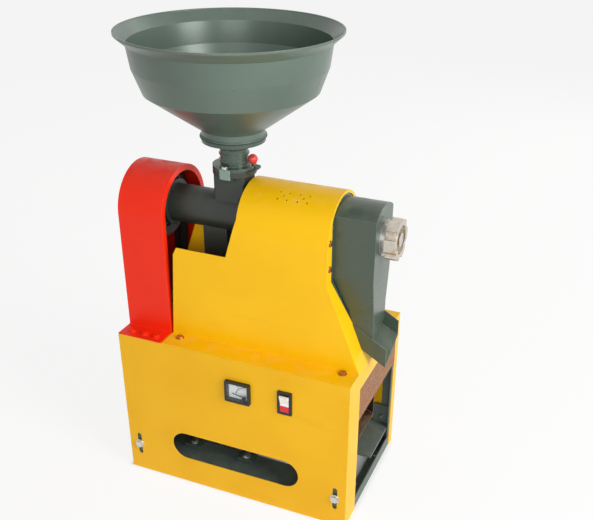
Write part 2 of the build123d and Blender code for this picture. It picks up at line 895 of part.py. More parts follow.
def fan_cowl():
    """Sheet cowl over the fan, with a ring of air slots."""
    x0 = stator_right + cowl_overlap
    x1 = x0 + cowl_length
    outer = shield_radius + cowl_wall + shaft_gap
    inner = outer - cowl_wall
    cowl = rod_x(outer, x0, x1, 0, motor_axis) - rod_x(inner, x0 - 1, x1 - cowl_wall, 0, motor_axis)
    slot = block(x1 - cowl_wall - 1, x1 + 1, cowl_slot_inner, outer - cowl_slot_margin,
                 -cowl_slot_half, cowl_slot_half)
    slots = [Pos(0, 0, motor_axis) * Rot(360.0 / cowl_slots * i, 0, 0) * slot for i in range(cowl_slots)]
    return cut(cowl, slots)


def terminal_box():
    """Wiring box on the motor's saddle, with a lipped lid and a cable entry."""
    z0, z1 = motor_top, motor_top + terminal_box_height
    x0 = stator_left + terminal_box_from_left - terminal_box_length / 2
    x1 = x0 + terminal_box_length
    half = terminal_box_width / 2
    side = half - lid_overhang
    box = block(x0 + lid_overhang, x1 - lid_overhang, -side, side, z0, z1)
    lid = block(x0, x1, -half, half, z1, z1 + lid_height)
    lid = fillet(lid.edges().filter_by(Axis.Z), lid_corner)
    gland = rod_y(gland_radius, side, half + gland_length, (x0 + x1) / 2, z0 + gland_height)
    return box + lid + gland


def capacitors():
    """Start and run capacitor covers beside the terminal box, on the motor's saddle end."""
    z = motor_top + capacitor_radius + seat_gap
    x0 = stator_left + capacitor_from_left
    x1 = x0 + capacitor_length
    cans = []
    for sy in (-1, 1):
        y = sy * (capacitor_radius + 1)
        shell = rod_x(capacitor_radius, x0, x1, y, z)
        foot = block(x0 + capacitor_foot_inset, x1 - capacitor_foot_inset,
                     y - capacitor_foot_half, y + capacitor_foot_half, motor_axis + capacitor_radius, z)
        foot = foot - rod_x(stator_radius + seat_gap, x0, x1, 0, motor_axis)
        cans.append(shell + foot)
    return group(cans)


# Belt drive
def pulley(radius, bore, z, recess):
    """Two-groove V pulley on the pulley line, with a turned recess in its right side."""
    half_top = groove_top / 2
    half_root = half_top - groove_depth * tan(radians(groove_angle / 2))
    profile = [(pulley_left, bore), (pulley_left, radius)]
    for i in (-0.5, 0.5):
        mid = pulley_mid + i * groove_pitch
        profile += [(mid - half_top, radius), (mid - half_root, radius - groove_depth),
                    (mid + half_root, radius - groove_depth), (mid + half_top, radius)]
    profile.append((pulley_right, radius))
    if recess:
        rim = radius - groove_depth - web_rim
        profile += [(pulley_right, rim), (pulley_right - web_recess, rim),
                    (pulley_right - web_recess, pulley_hub_radius), (pulley_right, pulley_hub_radius)]
    profile.append((pulley_right, bore))
    return turned_x(profile, z)


def belt_loop(x):
    """Path round both pulleys along a belt's outer face, and its outward direction at the start."""
    ra = mill_pulley_radius - belt_sink
    rb = motor_pulley_radius - belt_sink
    lean = (ra - rb) / (shaft_height - motor_axis)
    ny, nz = sqrt(1 - lean ** 2), -lean
    top_rear = Vector(x, ra * ny, shaft_height + ra * nz)
    low_rear = Vector(x, rb * ny, motor_axis + rb * nz)
    low_front = Vector(x, -rb * ny, motor_axis + rb * nz)
    top_front = Vector(x, -ra * ny, shaft_height + ra * nz)
    path = Wire([
        Line(top_rear, low_rear), ThreePointArc(low_rear, (x, 0, motor_axis - rb), low_front),
        Line(low_front, top_front), ThreePointArc(top_front, (x, 0, shaft_height + ra), top_rear),
    ])
    return path, top_rear, Vector(0, ny, nz)


def drive_belts():
    """Two V belts, each lying just clear of its grooves."""
    slope = tan(radians(groove_angle / 2))
    half_top = groove_top / 2 - running_gap / cos(radians(groove_angle / 2)) - belt_sink * slope
    half_low = half_top - belt_height * slope
    belts = []
    for i in (-0.5, 0.5):
        path, start, outward = belt_loop(pulley_mid + i * groove_pitch)
        across = Vector(1, 0, 0)
        low = start - outward * belt_height
        section = make_face(Polyline(start - across * half_top, start + across * half_top,
                                     low + across * half_low, low - across * half_low, close=True))
        belts.append(sweep(section, path=path))
    return group(belts)


# Belt guard
def belt_guard():
    """Arched guard open to the right, with a turned-in lip and foot flanges."""
    base = cabinet_height
    outer = arch(guard_half, base, guard_arch_centre, guard_left, guard_right)
    inner = arch(guard_half - guard_sheet, base - 1, guard_arch_centre,
                 guard_left + guard_sheet, guard_right - guard_sheet)
    mouth = arch(guard_half - guard_lip, base - 1, guard_arch_centre,
                 guard_right - guard_sheet - 1, guard_right + 1)
    shell = outer - inner - mouth
    front = block(guard_left, guard_right, front_y, -guard_half + 1, base, base + guard_sheet)
    rear = block(guard_left, guard_right, guard_half - 1, guard_half + guard_rear_flange,
                 base, base + guard_sheet)
    holes = holes_down(guard_bolt_places, base - 1, base + guard_sheet + 1, deck_bolt_radius)
    return cut(shell + front + rear, holes)


def guard_bolts():
    """Bolts of the guard's foot flanges."""
    return group(bolts_down(guard_bolt_places, cabinet_height + guard_sheet, deck_bolt_radius,
                            deck_bolt_length))


# Hood
def hood_side_outline(inset):
    """Hood seen from the front, in (x, z), its right side moved in by a sheet."""
    slope = (hood_right_foot - hood_right) / (hood_kink - cabinet_height)
    shift = inset * sqrt(1 + slope ** 2)
    top = hood_arch_centre + hood_half + 1
    kink = hood_kink + (shift - inset) / slope if inset else hood_kink
    return [
        (hood_left_foot - inset, cabinet_height - inset), (hood_left_foot - inset, top),
        (hood_right - inset, top), (hood_right - inset, kink),
        (hood_right_foot - shift + inset * slope, cabinet_height - inset),
    ]


def hood():
    """Arched hood with a stepped left end and a turned-in flange round its right end."""
    base = cabinet_height
    outer = arch(hood_half, base, hood_arch_centre, hood_left_foot, beyond_x)
    outer = outer & plate_xz(hood_side_outline(0), -hood_half - 1, hood_half + 1)
    inner = arch(hood_half - sheet, base - 1, hood_arch_centre, hood_left_foot - 1, beyond_x)
    inner = inner & plate_xz(hood_side_outline(sheet), -hood_half - 1, hood_half + 1)
    shell = outer - inner
    mouth_half = outlet_half + outlet_margin
    foot_half = hood_half - hood_flange_foot
    x = hood_right - hood_reach
    side_top = outlet_shoulder - hood_mouth_drop
    mouth = extrude(make_face([
        Line((x, -foot_half, base - 1), (x, -mouth_half, hood_kink)),
        Line((x, -mouth_half, hood_kink), (x, -mouth_half, side_top)),
        ThreePointArc((x, -mouth_half, side_top), (x, 0, outlet_crest + hood_mouth_rise),
                      (x, mouth_half, side_top)),
        Line((x, mouth_half, side_top), (x, mouth_half, hood_kink)),
        Line((x, mouth_half, hood_kink), (x, foot_half, base - 1)),
        Line((x, foot_half, base - 1), (x, -foot_half, base - 1)),
    ]), amount=beyond_x - x, dir=(1, 0, 0))
    top = hood_arch_centre + hood_half + 1
    beyond_left = hood_left_foot - 5
    step = plate_xz([
        (beyond_left, base - 1), (hood_left_foot, base - 1),
        (hood_left_top, hood_step_height - hood_step_chamfer),
        (hood_left_top + hood_step_chamfer / 2, hood_step_height), (hood_step_x, hood_step_height),
        (hood_rise_x, hood_rise_z), (hood_rise_x, top), (beyond_left, top)],
        -hood_half - 1, hood_half + 1)
    shell = shell - mouth - step
    front = block(hood_left_foot, hood_right_foot - 1, front_y + 1, -hood_half + 1, base, base + sheet)
    rear = block(hood_left_foot, hood_right_foot - hood_rear_short, hood_half - 1,
                 hood_half + hood_rear_flange, base, base + sheet)
    shell = shell + front + rear
    holes = holes_down(hood_bolt_places, base - 1, base + sheet + 1, deck_bolt_radius)
    return cut(shell, holes + hood_vents() + end_wall_holes())


def hood_vents():
    """Groups of five vent holes in the front of the arch."""
    cutters = []
    for middle in (hood_right - inset for inset in vent_insets):
        for dx, da in vent_pattern:
            turn = vent_angle + da
            y = -hood_half * cos(radians(turn))
            z = hood_arch_centre + hood_half * sin(radians(turn))
            cutters.append(Pos(middle + dx, y, z) * Rot(90 - turn, 0, 0) * Cylinder(vent_radius, vent_depth))
    return cutters


# End wall
def end_wall_holes():
    """Clearance holes for the end wall's bolts."""
    return [rod_x(wall_bolt_radius + hole_gap, x - 12, x + 8, y, z) for x, y, z in wall_bolt_places]


def end_wall():
    """Folded sheet that closes the hood's right end, with the chamber's outlet hole."""
    base = cabinet_height + seat_gap
    side = hood_half - sheet - running_gap
    outer = plate_xz(hood_side_outline(sheet), -side, side)
    inner = plate_xz(hood_side_outline(sheet + end_wall_sheet), -hood_half, hood_half)
    wall = (outer - inner) & arch(side, base, hood_arch_centre, end_wall_x - 1, beyond_x)
    hole = rod_x(chamber_radius + outlet_hole_margin, end_wall_x - 2, hood_right, 0, shaft_height)
    return cut(wall, [hole] + end_wall_holes())


def wall_bolts():
    """Bolts of the end wall through the hood's flange."""
    bolts = []
    for x, y, z in wall_bolt_places:
        bolts.append(Pos(x, y, z) * Rot(0, 90, 0) * hex_bolt(wall_bolt_radius, wall_bolt_length))
    return group(bolts)


# Mill head
def feed_casting():
    """Iron casting: bearing barrel, screw chamber, feed throat and pedestal column."""
    z = shaft_height
    barrel = rod_x(barrel_radius, barrel_left, casting_left, 0, z)
    chamber = rod_x(chamber_radius + chamber_wall, casting_left - 1, casting_right, 0, z)
    flange = rod_x(frame_ring_radius, casting_right - frame_ring_length, casting_right, 0, z)
    throat = block(throat_left, throat_right, -throat_half, throat_half, z, throat_mouth)
    throat = fillet(throat.edges().filter_by(Axis.Z), throat_corner)
    pad = block(throat_pad_left, throat_pad_right, -throat_half - throat_pad_proud, -throat_half + 1,
                throat_mouth - throat_pad_height, throat_mouth)
    column = block(column_left, column_right, -column_half, column_half, cabinet_height, z)
    foot = block(column_left - foot_left_margin, column_right + foot_right_margin, -foot_half, foot_half,
                 cabinet_height, cabinet_height + foot_thickness)
    foot = fillet(foot.edges().filter_by(Axis.Z), foot_corner)
    body = barrel + chamber + flange + throat + pad + column + foot
    bearing_end = right_bearing_x + bearing_width + 1
    body = body - rod_x(bearing_outer + shaft_gap, barrel_left - 1, bearing_end, 0, z)
    body = body - rod_x(bearing_inner + 4, barrel_left, screw_left, 0, z)
    body = body - rod_x(chamber_radius, screw_left - 1, casting_right + 1, 0, z)
    inside = block(throat_left + throat_wall, throat_right - throat_wall,
                   -throat_half + throat_wall, throat_half - throat_wall, z, throat_mouth + 1)
    body = body - inside
    holes = holes_down(foot_bolt_places, cabinet_height - 1, cabinet_height + foot_thickness + 1,
                       deck_bolt_radius)
    return cut(body, holes)


def gate_seat():
    """Flange plate welded on the throat's mouth: the gate slides on it and the collar is bolted to it."""
    z0, z1 = throat_mouth, throat_top
    plate = rod_z(collar_foot_radius, z0, z1, feed_x) - rod_z(collar_bore, z0 - 1, z1 + 1, feed_x)
    return cut(plate, holes_down(flange_bolt_places, z0 - 1, z1 + 1, flange_bolt_radius))


def flange_bolts():
    """Bolts that clamp the collar foot and gate guides on the gate's seat."""
    top = collar_bottom + collar_foot_thickness
    return group(bolts_down(flange_bolt_places, top, flange_bolt_radius, flange_bolt_length))


def deck_bolts():
    """Equal bolts of the hood's flanges, the casting's foot and the outlet bracket."""
    base = cabinet_height
    bolts = bolts_down(hood_bolt_places, base + sheet, deck_bolt_radius, deck_bolt_length)
    bolts += bolts_down(foot_bolt_places, base + foot_thickness, deck_bolt_radius, foot_bolt_length)
    bolts += bolts_down(bracket_bolt_places, base + bracket_foot_thickness, deck_bolt_radius,
                        bracket_bolt_length)
    return group(bolts)


def bearing_cover():
    """Cover that keeps the left bearing in the barrel."""
    z = shaft_height
    x1 = barrel_left
    x0 = x1 - cover_thickness
    lip = bearing_inner + seal_lip
    spigot = bearing_outer - shaft_gap
    chamfer = cover_bolt_head
    profile = [
        (x0, lip), (x0, cover_radius - chamfer), (x0 + chamfer, cover_radius), (x1, cover_radius),
        (x1, spigot), (left_bearing_x - shaft_gap, spigot), (left_bearing_x - shaft_gap, lip),
    ]
    cover = turned_x(profile, z)
    for i in range(4):
        a = pi / 4 + pi / 2 * i
        cover = cover + Pos(x0, cover_bolt_ring * cos(a), z + cover_bolt_ring * sin(a)) * Rot(0, -90, 0) * (
            extrude(RegularPolygon(cover_bolt_head, 6), amount=cover_bolt_rise))
    return cover


def mill_shaft():
    """Main shaft: pulley seat, bearing seats, and a long seat for screw and roller."""
    seat = bearing_inner - shaft_gap
    x_left = pulley_left - shaft_end_length
    x_right = roller_right + 1 + shaft_gap + nut_length + shaft_thread_end
    bearing_end = right_bearing_x + bearing_width
    profile = [
        (x_left, 0), (x_left, shaft_end_radius), (pulley_left, shaft_end_radius),
        (pulley_left, mill_bore), (pulley_right + 2, mill_bore), (pulley_right + 2, seat),
        (bearing_end, seat), (bearing_end, shaft_collar), (screw_left - shaft_collar_length, shaft_collar),
        (screw_left - shaft_collar_length, tail_radius), (roller_right + 1, tail_radius),
        (roller_right + 1, shaft_thread), (x_right, shaft_thread), (x_right, 0),
    ]
    return turned_x(profile, shaft_height)


def pulley_nut():
    """Nut and washer on the shaft's left end."""
    x1 = pulley_left - shaft_gap
    x0 = x1 - nut_washer - nut_height
    nut = Pos(x0, 0, shaft_height) * Rot(0, 90, 0) * extrude(RegularPolygon(nut_radius, 6), amount=nut_height)
    washer = rod_x(nut_washer_radius, x1 - nut_washer, x1, 0, shaft_height)
    return nut + washer - rod_x(shaft_end_radius + shaft_gap, x0 - 1, x1 + 1, 0, shaft_height)


def mill_bearings():
    """Two ball bearings in the barrel."""
    rings = []
    for x in (left_bearing_x, right_bearing_x):
        rings.append(bearing_ring(x, bearing_width, bearing_inner, bearing_outer, shaft_height))
    return group(rings)


def feed_screw():
    """Two-start feed screw that pushes the paddy into the milling chamber."""
    screw = rod_x(screw_core, screw_left, screw_right)
    length = screw_right - screw_left - 2 * screw_flight
    half = degrees(screw_flight / screw_core)
    for start in (0.0, 180.0):
        sections = []
        for i in range(screw_steps + 1):
            x = length * i / screw_steps
            angle = start + 360.0 * x / (2 * screw_pitch)
            sections.append(flight_section(screw_left + screw_flight + x, angle, half))
        screw = screw + loft(sections, ruled=True)
    bore = rod_x(tail_radius + shaft_gap, screw_left - 1, screw_right + 1)
    return Pos(0, 0, shaft_height) * (screw - bore)


def flight_section(x, angle, half):
    """Cross-section of one screw flight in a plane across X."""
    tip = half * screw_taper
    corners = [(screw_core - 1, angle - half), (screw_core - 1, angle + half),
               (screw_radius, angle + tip), (screw_radius, angle - tip)]
    points = [(x, r * cos(radians(a)), r * sin(radians(a))) for r, a in corners]
    return make_face(Polyline(*points, close=True))


def milling_roller():
    """Chilled-iron milling roller with raised straight ribs."""
    roller = rod_x(roller_radius, roller_left, roller_right)
    rib = block(roller_left, roller_right, -rib_width / 2, rib_width / 2,
                roller_radius - 2, roller_radius + rib_height)
    for i in range(rib_count):
        roller = roller + Rot(360.0 / rib_count * i, 0, 0) * rib
    roller = roller - rod_x(tail_radius + shaft_gap, roller_left - 1, roller_right + 1)
    return Pos(0, 0, shaft_height) * roller


def roller_nut():
    """Nut that holds screw and roller on the shaft."""
    x0 = roller_right + 1 + shaft_gap
    nut = extrude(RegularPolygon(nut_flats / sqrt(3), 6), amount=nut_length)
    nut = Pos(x0, 0, shaft_height) * Rot(0, 90, 0) * nut
    return nut - rod_x(shaft_thread + shaft_gap, x0 - 1, x0 + nut_length + 1, 0, shaft_height)


def hex_face(flat, x):
    """Hexagon across X with flats above and below."""
    radius = flat / cos(pi / 6)
    points = [(x, radius * cos(pi / 3 * i), radius * sin(pi / 3 * i)) for i in range(6)]
    return make_face(Polyline(*points, close=True))


def rice_screen():
    """Six-sided slotted screen round the roller, open on one side for the blade."""
    x0, x1 = casting_right + screen_reach, bracket_left - seat_gap
    outer = extrude(hex_face(screen_flat, x0), amount=x1 - x0, dir=(1, 0, 0))
    inner = extrude(hex_face(screen_flat - screen_wall, x0 - 1), amount=x1 - x0 + 2, dir=(1, 0, 0))
    screen = outer - inner
    pitch = (x1 - x0 - 2 * screen_end) / screen_slots
    for side in range(6):
        for row in (-1, 1):
            slot = Rot(0, 0, row * screen_lean) * Box(screen_slot_length, screen_slot_width, 4 * screen_wall)
            for i in range(screen_slots):
                x = x0 + screen_end + pitch * (i + 0.5)
                place = Pos(x, row * screen_row, screen_flat)
                screen = screen - Rot(60.0 * side, 0, 0) * place * slot
    gap = blade_thickness / 2 + running_gap
    screen = screen - block(roller_left, roller_right - blade_gap_left, roller_radius, blade_outer, -gap, gap)
    return Pos(0, 0, shaft_height) * screen


def screen_frame():
    """Frame of a ring and four bars that clamps the screen to the casting."""
    z = shaft_height
    x0, x1 = casting_right, bracket_left
    ring_end = x0 + frame_ring_length
    frame = rod_x(frame_ring_radius, x0, ring_end, 0, z) - rod_x(chamber_radius, x0 - 1, ring_end + 1, 0, z)
    pocket = extrude(hex_face(screen_flat + running_gap, x0 + screen_reach - seat_gap),
                     amount=frame_ring_length, dir=(1, 0, 0))
    frame = frame - Pos(0, 0, z) * pocket
    half = frame_bar / 2
    radius = screen_flat / cos(pi / 6) + half + 1.0
    for angle in (45.0, 135.0, 225.0, 315.0):
        y, dz = radius * cos(radians(angle)), radius * sin(radians(angle))
        frame = frame + block(x0 + frame_ring_length / 2, x1, y - half, y + half,
                              z + dz - half, z + dz + half)
    return frame


def outlet_bracket():
    """Cast ring and pedestal that carries the chamber's outlet end."""
    z = shaft_height
    base = cabinet_height
    ring = rod_x(frame_ring_radius, bracket_left, bracket_right, 0, z)
    leg = block(bracket_left, bracket_right, -bracket_half, bracket_half, base, z)
    foot = block(bracket_left - bracket_foot_back, bracket_right, -bracket_foot_half, bracket_foot_half,
                 base, base + bracket_foot_thickness)
    bracket = ring + leg + foot - rod_x(chamber_radius, bracket_left - 1, bracket_right + 1, 0, z)
    return cut(bracket, holes_down(bracket_bolt_places, base - 1, base + bracket_foot_thickness + 1,
                                   deck_bolt_radius))


def huller_blade():
    """Adjustable steel blade along the roller, set through the screen's open side."""
    half = blade_thickness / 2
    x0, x1 = roller_left + blade_gap_left, roller_right - blade_gap_right
    z = shaft_height
    blade = block(x0, x1, blade_tip, blade_outer, z - half, z + half)
    for x in (x0 + blade_bolt_inset, x1 - blade_bolt_inset):
        blade = blade - rod_z(blade_bolt_radius, z - half - 1, z + half + 1, x, blade_bolt_y)
    return blade


def blade_holder():
    """Bar between the casting's frame and the bracket that carries the blade."""
    z = shaft_height + blade_thickness / 2
    x0, x1 = casting_right + frame_ring_length + seat_gap, bracket_left - seat_gap
    bar = block(x0, x1, holder_inner, holder_outer, z, z + holder_height)
    b0, b1 = roller_left + blade_gap_left, roller_right - blade_gap_right
    for x in (b0 + blade_bolt_inset, b1 - blade_bolt_inset):
        bar = bar - rod_z(blade_bolt_radius, z - 1, z + holder_height + 1, x, blade_bolt_y)
    return bar


def mill_stand():
    """Gusset stand under the barrel, with its own foot."""
    base = cabinet_height
    top = shaft_height - barrel_radius - seat_gap
    left = hood_left_foot + sheet
    right = column_left - seat_gap
    foot_right = column_left - foot_left_margin - seat_gap
    foot_top = base + foot_thickness + seat_gap
    web = plate_xz([(left, base), (left, base + stand_corner_rise), (stand_top_x, top), (right, top),
                    (right, foot_top), (foot_right, foot_top), (foot_right, base)],
                   stand_sheet_front, stand_sheet_back)
    foot = block(left, foot_right, -stand_foot_half, stand_foot_half, base, base + stand_foot_thickness)
    return web + foot


# Feed gate and collar
def gate_guides():
    """Spacer that guides the slide gate on its seat, open to the right."""
    z0, z1 = throat_top, throat_top + gate_slot
    side = gate_half + running_gap
    disc = rod_z(collar_foot_radius, z0, z1, feed_x)
    track = block(gate_left - running_gap, feed_x + collar_foot_radius + 1, -side, side, z0 - 1, z1 + 1)
    return cut(disc - track, holes_down(flange_bolt_places, z0 - 1, z1 + 1, flange_bolt_radius))


def slide_gate():
    """Feed gate plate with a pin for its knob."""
    z0, z1 = gate_bottom, gate_bottom + gate_thickness
    plate = block(gate_left, gate_tip, -gate_half, gate_half, z0, z1)
    nose = plate.edges().filter_by(Axis.Z).sort_by(Axis.X)[-2:]
    plate = fillet(nose, gate_corner)
    return plate + rod_z(gate_pin_radius, z1 - 1, gate_knob_height - gate_knob_flat, gate_knob_x, 0)


def gate_knob():
    """Ball knob with a small flat, on the end of the gate's pin."""
    low = -gate_knob_flat
    start = degrees(asin(low / gate_knob_radius))
    profile = [(0, gate_knob_height + low)]
    for i in range(ball_rings + 1):
        a = radians(start + (90.0 - start) * i / ball_rings)
        profile.append((gate_knob_radius * cos(a), gate_knob_height + gate_knob_radius * sin(a)))
    profile[-1] = (0, gate_knob_height + gate_knob_radius)
    return turned_z(profile, gate_knob_x)


def feed_collar():
    """Turned neck between the gate and the hopper, with two beads and a flared top ring."""
    z0 = collar_bottom
    foot_top = z0 + collar_foot_thickness
    profile = [(collar_bore, z0), (collar_foot_radius, z0), (collar_foot_radius, foot_top),
               (collar_neck, foot_top)]
    for rise in (collar_bead_low, collar_bead_high):
        profile += [(collar_neck, z0 + rise), (collar_neck + collar_bead, z0 + rise + 1),
                    (collar_neck + collar_bead, z0 + rise + collar_bead_height),
                    (collar_neck, z0 + rise + collar_bead_height + 1)]
    profile += [
        (collar_neck, z0 + collar_neck_height),
        (collar_ring_radius - collar_cone_in, collar_ring_bottom - collar_cone_drop),
        (collar_ring_radius, collar_ring_bottom), (collar_ring_radius, collar_ring_top),
        (hopper_neck_radius - collar_lip, collar_ring_top), (collar_bore, z0 + collar_neck_height - 2),
    ]
    collar = turned_z(profile, feed_x)
    room = gate_pin_radius + collar_pin_room
    notch = block(gate_knob_x - room, feed_x + collar_foot_radius + 1, -room, room, z0 - 1, foot_top + 1)
    return cut(collar - notch, holes_down(flange_bolt_places, z0 - 1, foot_top + 1, flange_bolt_radius))


# Hopper
def hopper_outline():
    """Outer hopper wall as (radius, z) points from the flange to the rim."""
    z0 = collar_ring_top
    return [
        (hopper_neck_radius, z0 + hopper_foot_thickness), (hopper_neck_radius, z0 + hopper_band),
        (hopper_corner_radius, z0 + hopper_corner_rise), (hopper_waist_radius, z0 + hopper_waist_rise),
        (hopper_wall_radius, z0 + hopper_wall_rise),
        (hopper_rim_radius, z0 + hopper_rim_rise - hopper_rim_depth),
    ]


def hopper():
    """Spun feed hopper with a foot flange and a flared rim."""
    z0 = collar_ring_top
    outer = hopper_outline()
    inner = [(r - hopper_wall, z + hopper_wall / 2) for r, z in outer[1:-1]]
    rim_top = [(hopper_rim_radius, hopper_rim_z), (hopper_rim_radius - hopper_wall, hopper_rim_z)]
    foot = [(hopper_neck_radius - hopper_wall, z0), (hopper_flange_radius, z0),
            (hopper_flange_radius, z0 + hopper_foot_thickness)]
    return turned_z(foot + outer + rim_top + inner[::-1], feed_x)


# Outlet housing, regulator and spout
def outlet_outline(inset):
    """Housing seen along X, as a face in YZ with a low arched top and a narrow lower part."""
    half, waist = outlet_half - inset, outlet_foot_half - inset
    x, low = hood_right - sheet, cabinet_height
    shoulder, crest = outlet_shoulder - inset, outlet_crest - inset
    return make_face([
        Line((x, -waist, low), (x, -waist, outlet_waist_z)),
        Line((x, -waist, outlet_waist_z), (x, -half, outlet_hip_z)),
        Line((x, -half, outlet_hip_z), (x, -half, shoulder)),
        ThreePointArc((x, -half, shoulder), (x, 0, crest), (x, half, shoulder)),
        Line((x, half, shoulder), (x, half, outlet_hip_z)),
        Line((x, half, outlet_hip_z), (x, waist, outlet_waist_z)),
        Line((x, waist, outlet_waist_z), (x, waist, low)),
        Line((x, waist, low), (x, -waist, low)),
    ])


def beyond_wall():
    """Room to the right of the end wall above, and of the hood's sloped flange below."""
    outline = hood_side_outline(0)
    kink, foot = outline[3], outline[4]
    face = hood_right - sheet
    step = kink[1] + 2
    side = outlet_half + outlet_margin
    return plate_xz([(face, above_mill), (face, step), (kink[0] + seat_gap, step),
                     (foot[0] + seat_gap, foot[1]), (beyond_x, foot[1]), (beyond_x, above_mill)],
                    -side, side)


def spout_floor(y):
    """Height of the spout's floor where it passes the housing's right face."""
    return cabinet_height + spout_floor_rise + spout_roll * y


def along_spout(points, x0, x1):
    """Prism whose (y, z) section is stated at the housing's right face and falls with the spout."""
    rise = (outlet_right - x0) * spout_slope
    outline = make_face(Polyline(*[(x0, y, z + rise) for y, z in points], close=True))
    run = x1 - x0
    fall = Vector(run, 0, -run * spout_slope)
    return extrude(outline, amount=fall.length, dir=fall.normalized())


def outlet_housing():
    """Thin-walled housing that catches the milled rice, open to the end wall and the spout."""
    length = outlet_right - hood_right + sheet
    full = extrude(outlet_outline(0), amount=length, dir=(1, 0, 0))
    hollow = extrude(outlet_outline(outlet_wall), amount=length - outlet_wall, dir=(1, 0, 0))
    shell = (full - hollow) & beyond_wall()
    side = outlet_foot_half + 1
    below = [(-side, cabinet_height - spout_back_height), (side, cabinet_height - spout_back_height),
             (side, spout_floor(side) + outlet_lip), (-side, spout_floor(-side) + outlet_lip)]
    shell = shell - along_spout(below, hood_right - sheet - 1, outlet_right + 1)
    return shell - rod_x(spindle_radius + boss_clearance, outlet_right - outlet_wall - 1, outlet_right + 1,
                         0, shaft_height)


def outlet_boss():
    """Flanged boss that carries the regulator's spindle and knob."""
    x0, x1 = outlet_right, outlet_right + boss_length
    bore = spindle_radius + shaft_gap
    profile = [(x0, bore), (x0, boss_flange_radius), (x0 + boss_flange_thickness, boss_flange_radius),
               (x0 + boss_flange_thickness, boss_radius), (x1, boss_radius), (x1, bore)]
    return turned_x(profile, shaft_height)


def pressure_spindle():
    """Threaded spindle with the spring's collar."""
    x0 = bracket_right + plate_reach
    x1 = outlet_right + boss_length + spindle_beyond
    spindle = rod_x(spindle_radius, x0, x1, 0, shaft_height)
    collar = rod_x(spring_radius + spring_wire, x0 + spring_room, x0 + spring_room + spring_collar,
                   0, shaft_height)
    return spindle + collar


def pressure_plate():
    """Dished plate that closes on the chamber's outlet."""
    x0 = bracket_right + plate_back
    x1 = bracket_right + plate_reach - shaft_gap
    third = (x1 - x0) / 3
    hub = spindle_radius + plate_hub
    profile = [(x0, 0), (x0, plate_radius - plate_bevel), (x0 + third, plate_radius),
               (x0 + 1.6 * third, plate_radius), (x1, hub), (x1, 0)]
    return turned_x(profile, shaft_height)


def pressure_spring():
    """Compression spring of square wire between the plate and the spindle's collar."""
    end = 2 * seat_gap + spring_wire / 2
    x0 = bracket_right + plate_reach + end
    x1 = bracket_right + plate_reach + spring_room - end
    count = spring_turns * spring_sides
    points = []
    for i in range(count + 1):
        a = 2 * pi * i / spring_sides
        points.append((x0 + (x1 - x0) * i / count, spring_radius * cos(a),
                       shaft_height + spring_radius * sin(a)))
    path = Polyline(*points)
    section = Plane(origin=path @ 0, z_dir=path % 0) * Rectangle(spring_wire, spring_wire)
    return sweep(section, path=path, transition=Transition.RIGHT)


def pressure_knob():
    """Lobed hand knob that turns captive on the boss."""
    x0 = outlet_right + boss_length + running_gap
    x1 = x0 + knob_length
    body = rod_x(knob_radius, x0, x1)
    for i in range(knob_lobes):
        a = 2 * pi * (i + 0.5) / knob_lobes
        body = body - rod_x(knob_scoop_radius, x0 - 1, x1 + 1, knob_scoop_ring * cos(a),
                            knob_scoop_ring * sin(a))
    recess = rod_x(knob_radius - knob_rim, x1 - knob_recess, x1 + 1) - rod_x(knob_hub, x0, x1 + 2)
    bore = rod_x(spindle_radius + shaft_gap, x0 - 1, x1 - knob_cap)
    return Pos(0, 0, shaft_height) * (body - recess - bore)


def rice_spout():
    """Sloped open channel under the housing, rolled to the front, with a high back wall."""
    side = outlet_foot_half + seat_gap
    edge = side + spout_wall
    low, high = spout_floor(-edge), spout_floor(edge)
    front_top, back_top = low + spout_front_height, high + spout_back_height
    outer = [(-edge, low), (edge, high), (edge, back_top), (side, back_top),
             (side, spout_floor(side) + spout_wall), (-side, spout_floor(-side) + spout_wall),
             (-side, front_top), (-edge, front_top)]
    channel = along_spout(outer, hood_right, spout_end) & beyond_wall()
    return channel & block(hood_right, spout_end + 1, -edge, edge, cabinet_height - spout_back_height,
                           outlet_waist_z - seat_gap)


# Bran side
def bran_chute():
    """Galvanised chute under the deck that leads the bran to the open right bay."""
    y, w = bran_half, bran_wall
    top = deck_under - seat_gap
    high = motor_top + bran_floor_share * (deck_under - motor_top)
    low = motor_axis + bran_mouth_rise
    x0, x1, xm = bran_left - bran_lip, bran_right - bran_lip, bran_mouth_x
    mouth_top = low + bran_mouth_height
    side = [(x0, top), (x1, top), (xm, mouth_top), (xm, low), (x0, high)]
    room = [(x0 + w, top + 1), (x1 - w, top + 1), (x1 - w, top - w), (xm + 1, mouth_top - w),
            (xm + 1, low + w), (x0 + w, high + w)]
    return plate_xz(side, -y, y) - plate_xz(room, -y + w, y - w)


# Meter and switch
def meter_case():
    """Square meter housing with a black bezel, set through the front panel."""
    hw, hh = meter_width / 2, meter_height / 2
    bezel = block(meter_x - hw, meter_x + hw, front_y - meter_proud, front_y, meter_z - hh, meter_z + hh)
    bezel = fillet(bezel.edges().filter_by(Axis.Y), meter_corner)
    back = block(meter_x - hw + body_inset, meter_x + hw - body_inset, front_y - 1, front_y + meter_depth,
                 meter_z - hh + body_inset, meter_z + hh - body_inset)
    b = meter_border
    room = block(meter_x - hw + b, meter_x + hw - b, front_y - meter_proud - 1, front_y + meter_room,
                 meter_z - hh + b, meter_z + hh - b)
    return bezel + back - room


def meter_dial():
    """Dial plate at the back of the meter's room."""
    b = meter_border + running_gap
    hw, hh = meter_width / 2 - b, meter_height / 2 - b
    y1 = front_y + meter_room
    return block(meter_x - hw, meter_x + hw, y1 - dial_thickness, y1, meter_z - hh, meter_z + hh)


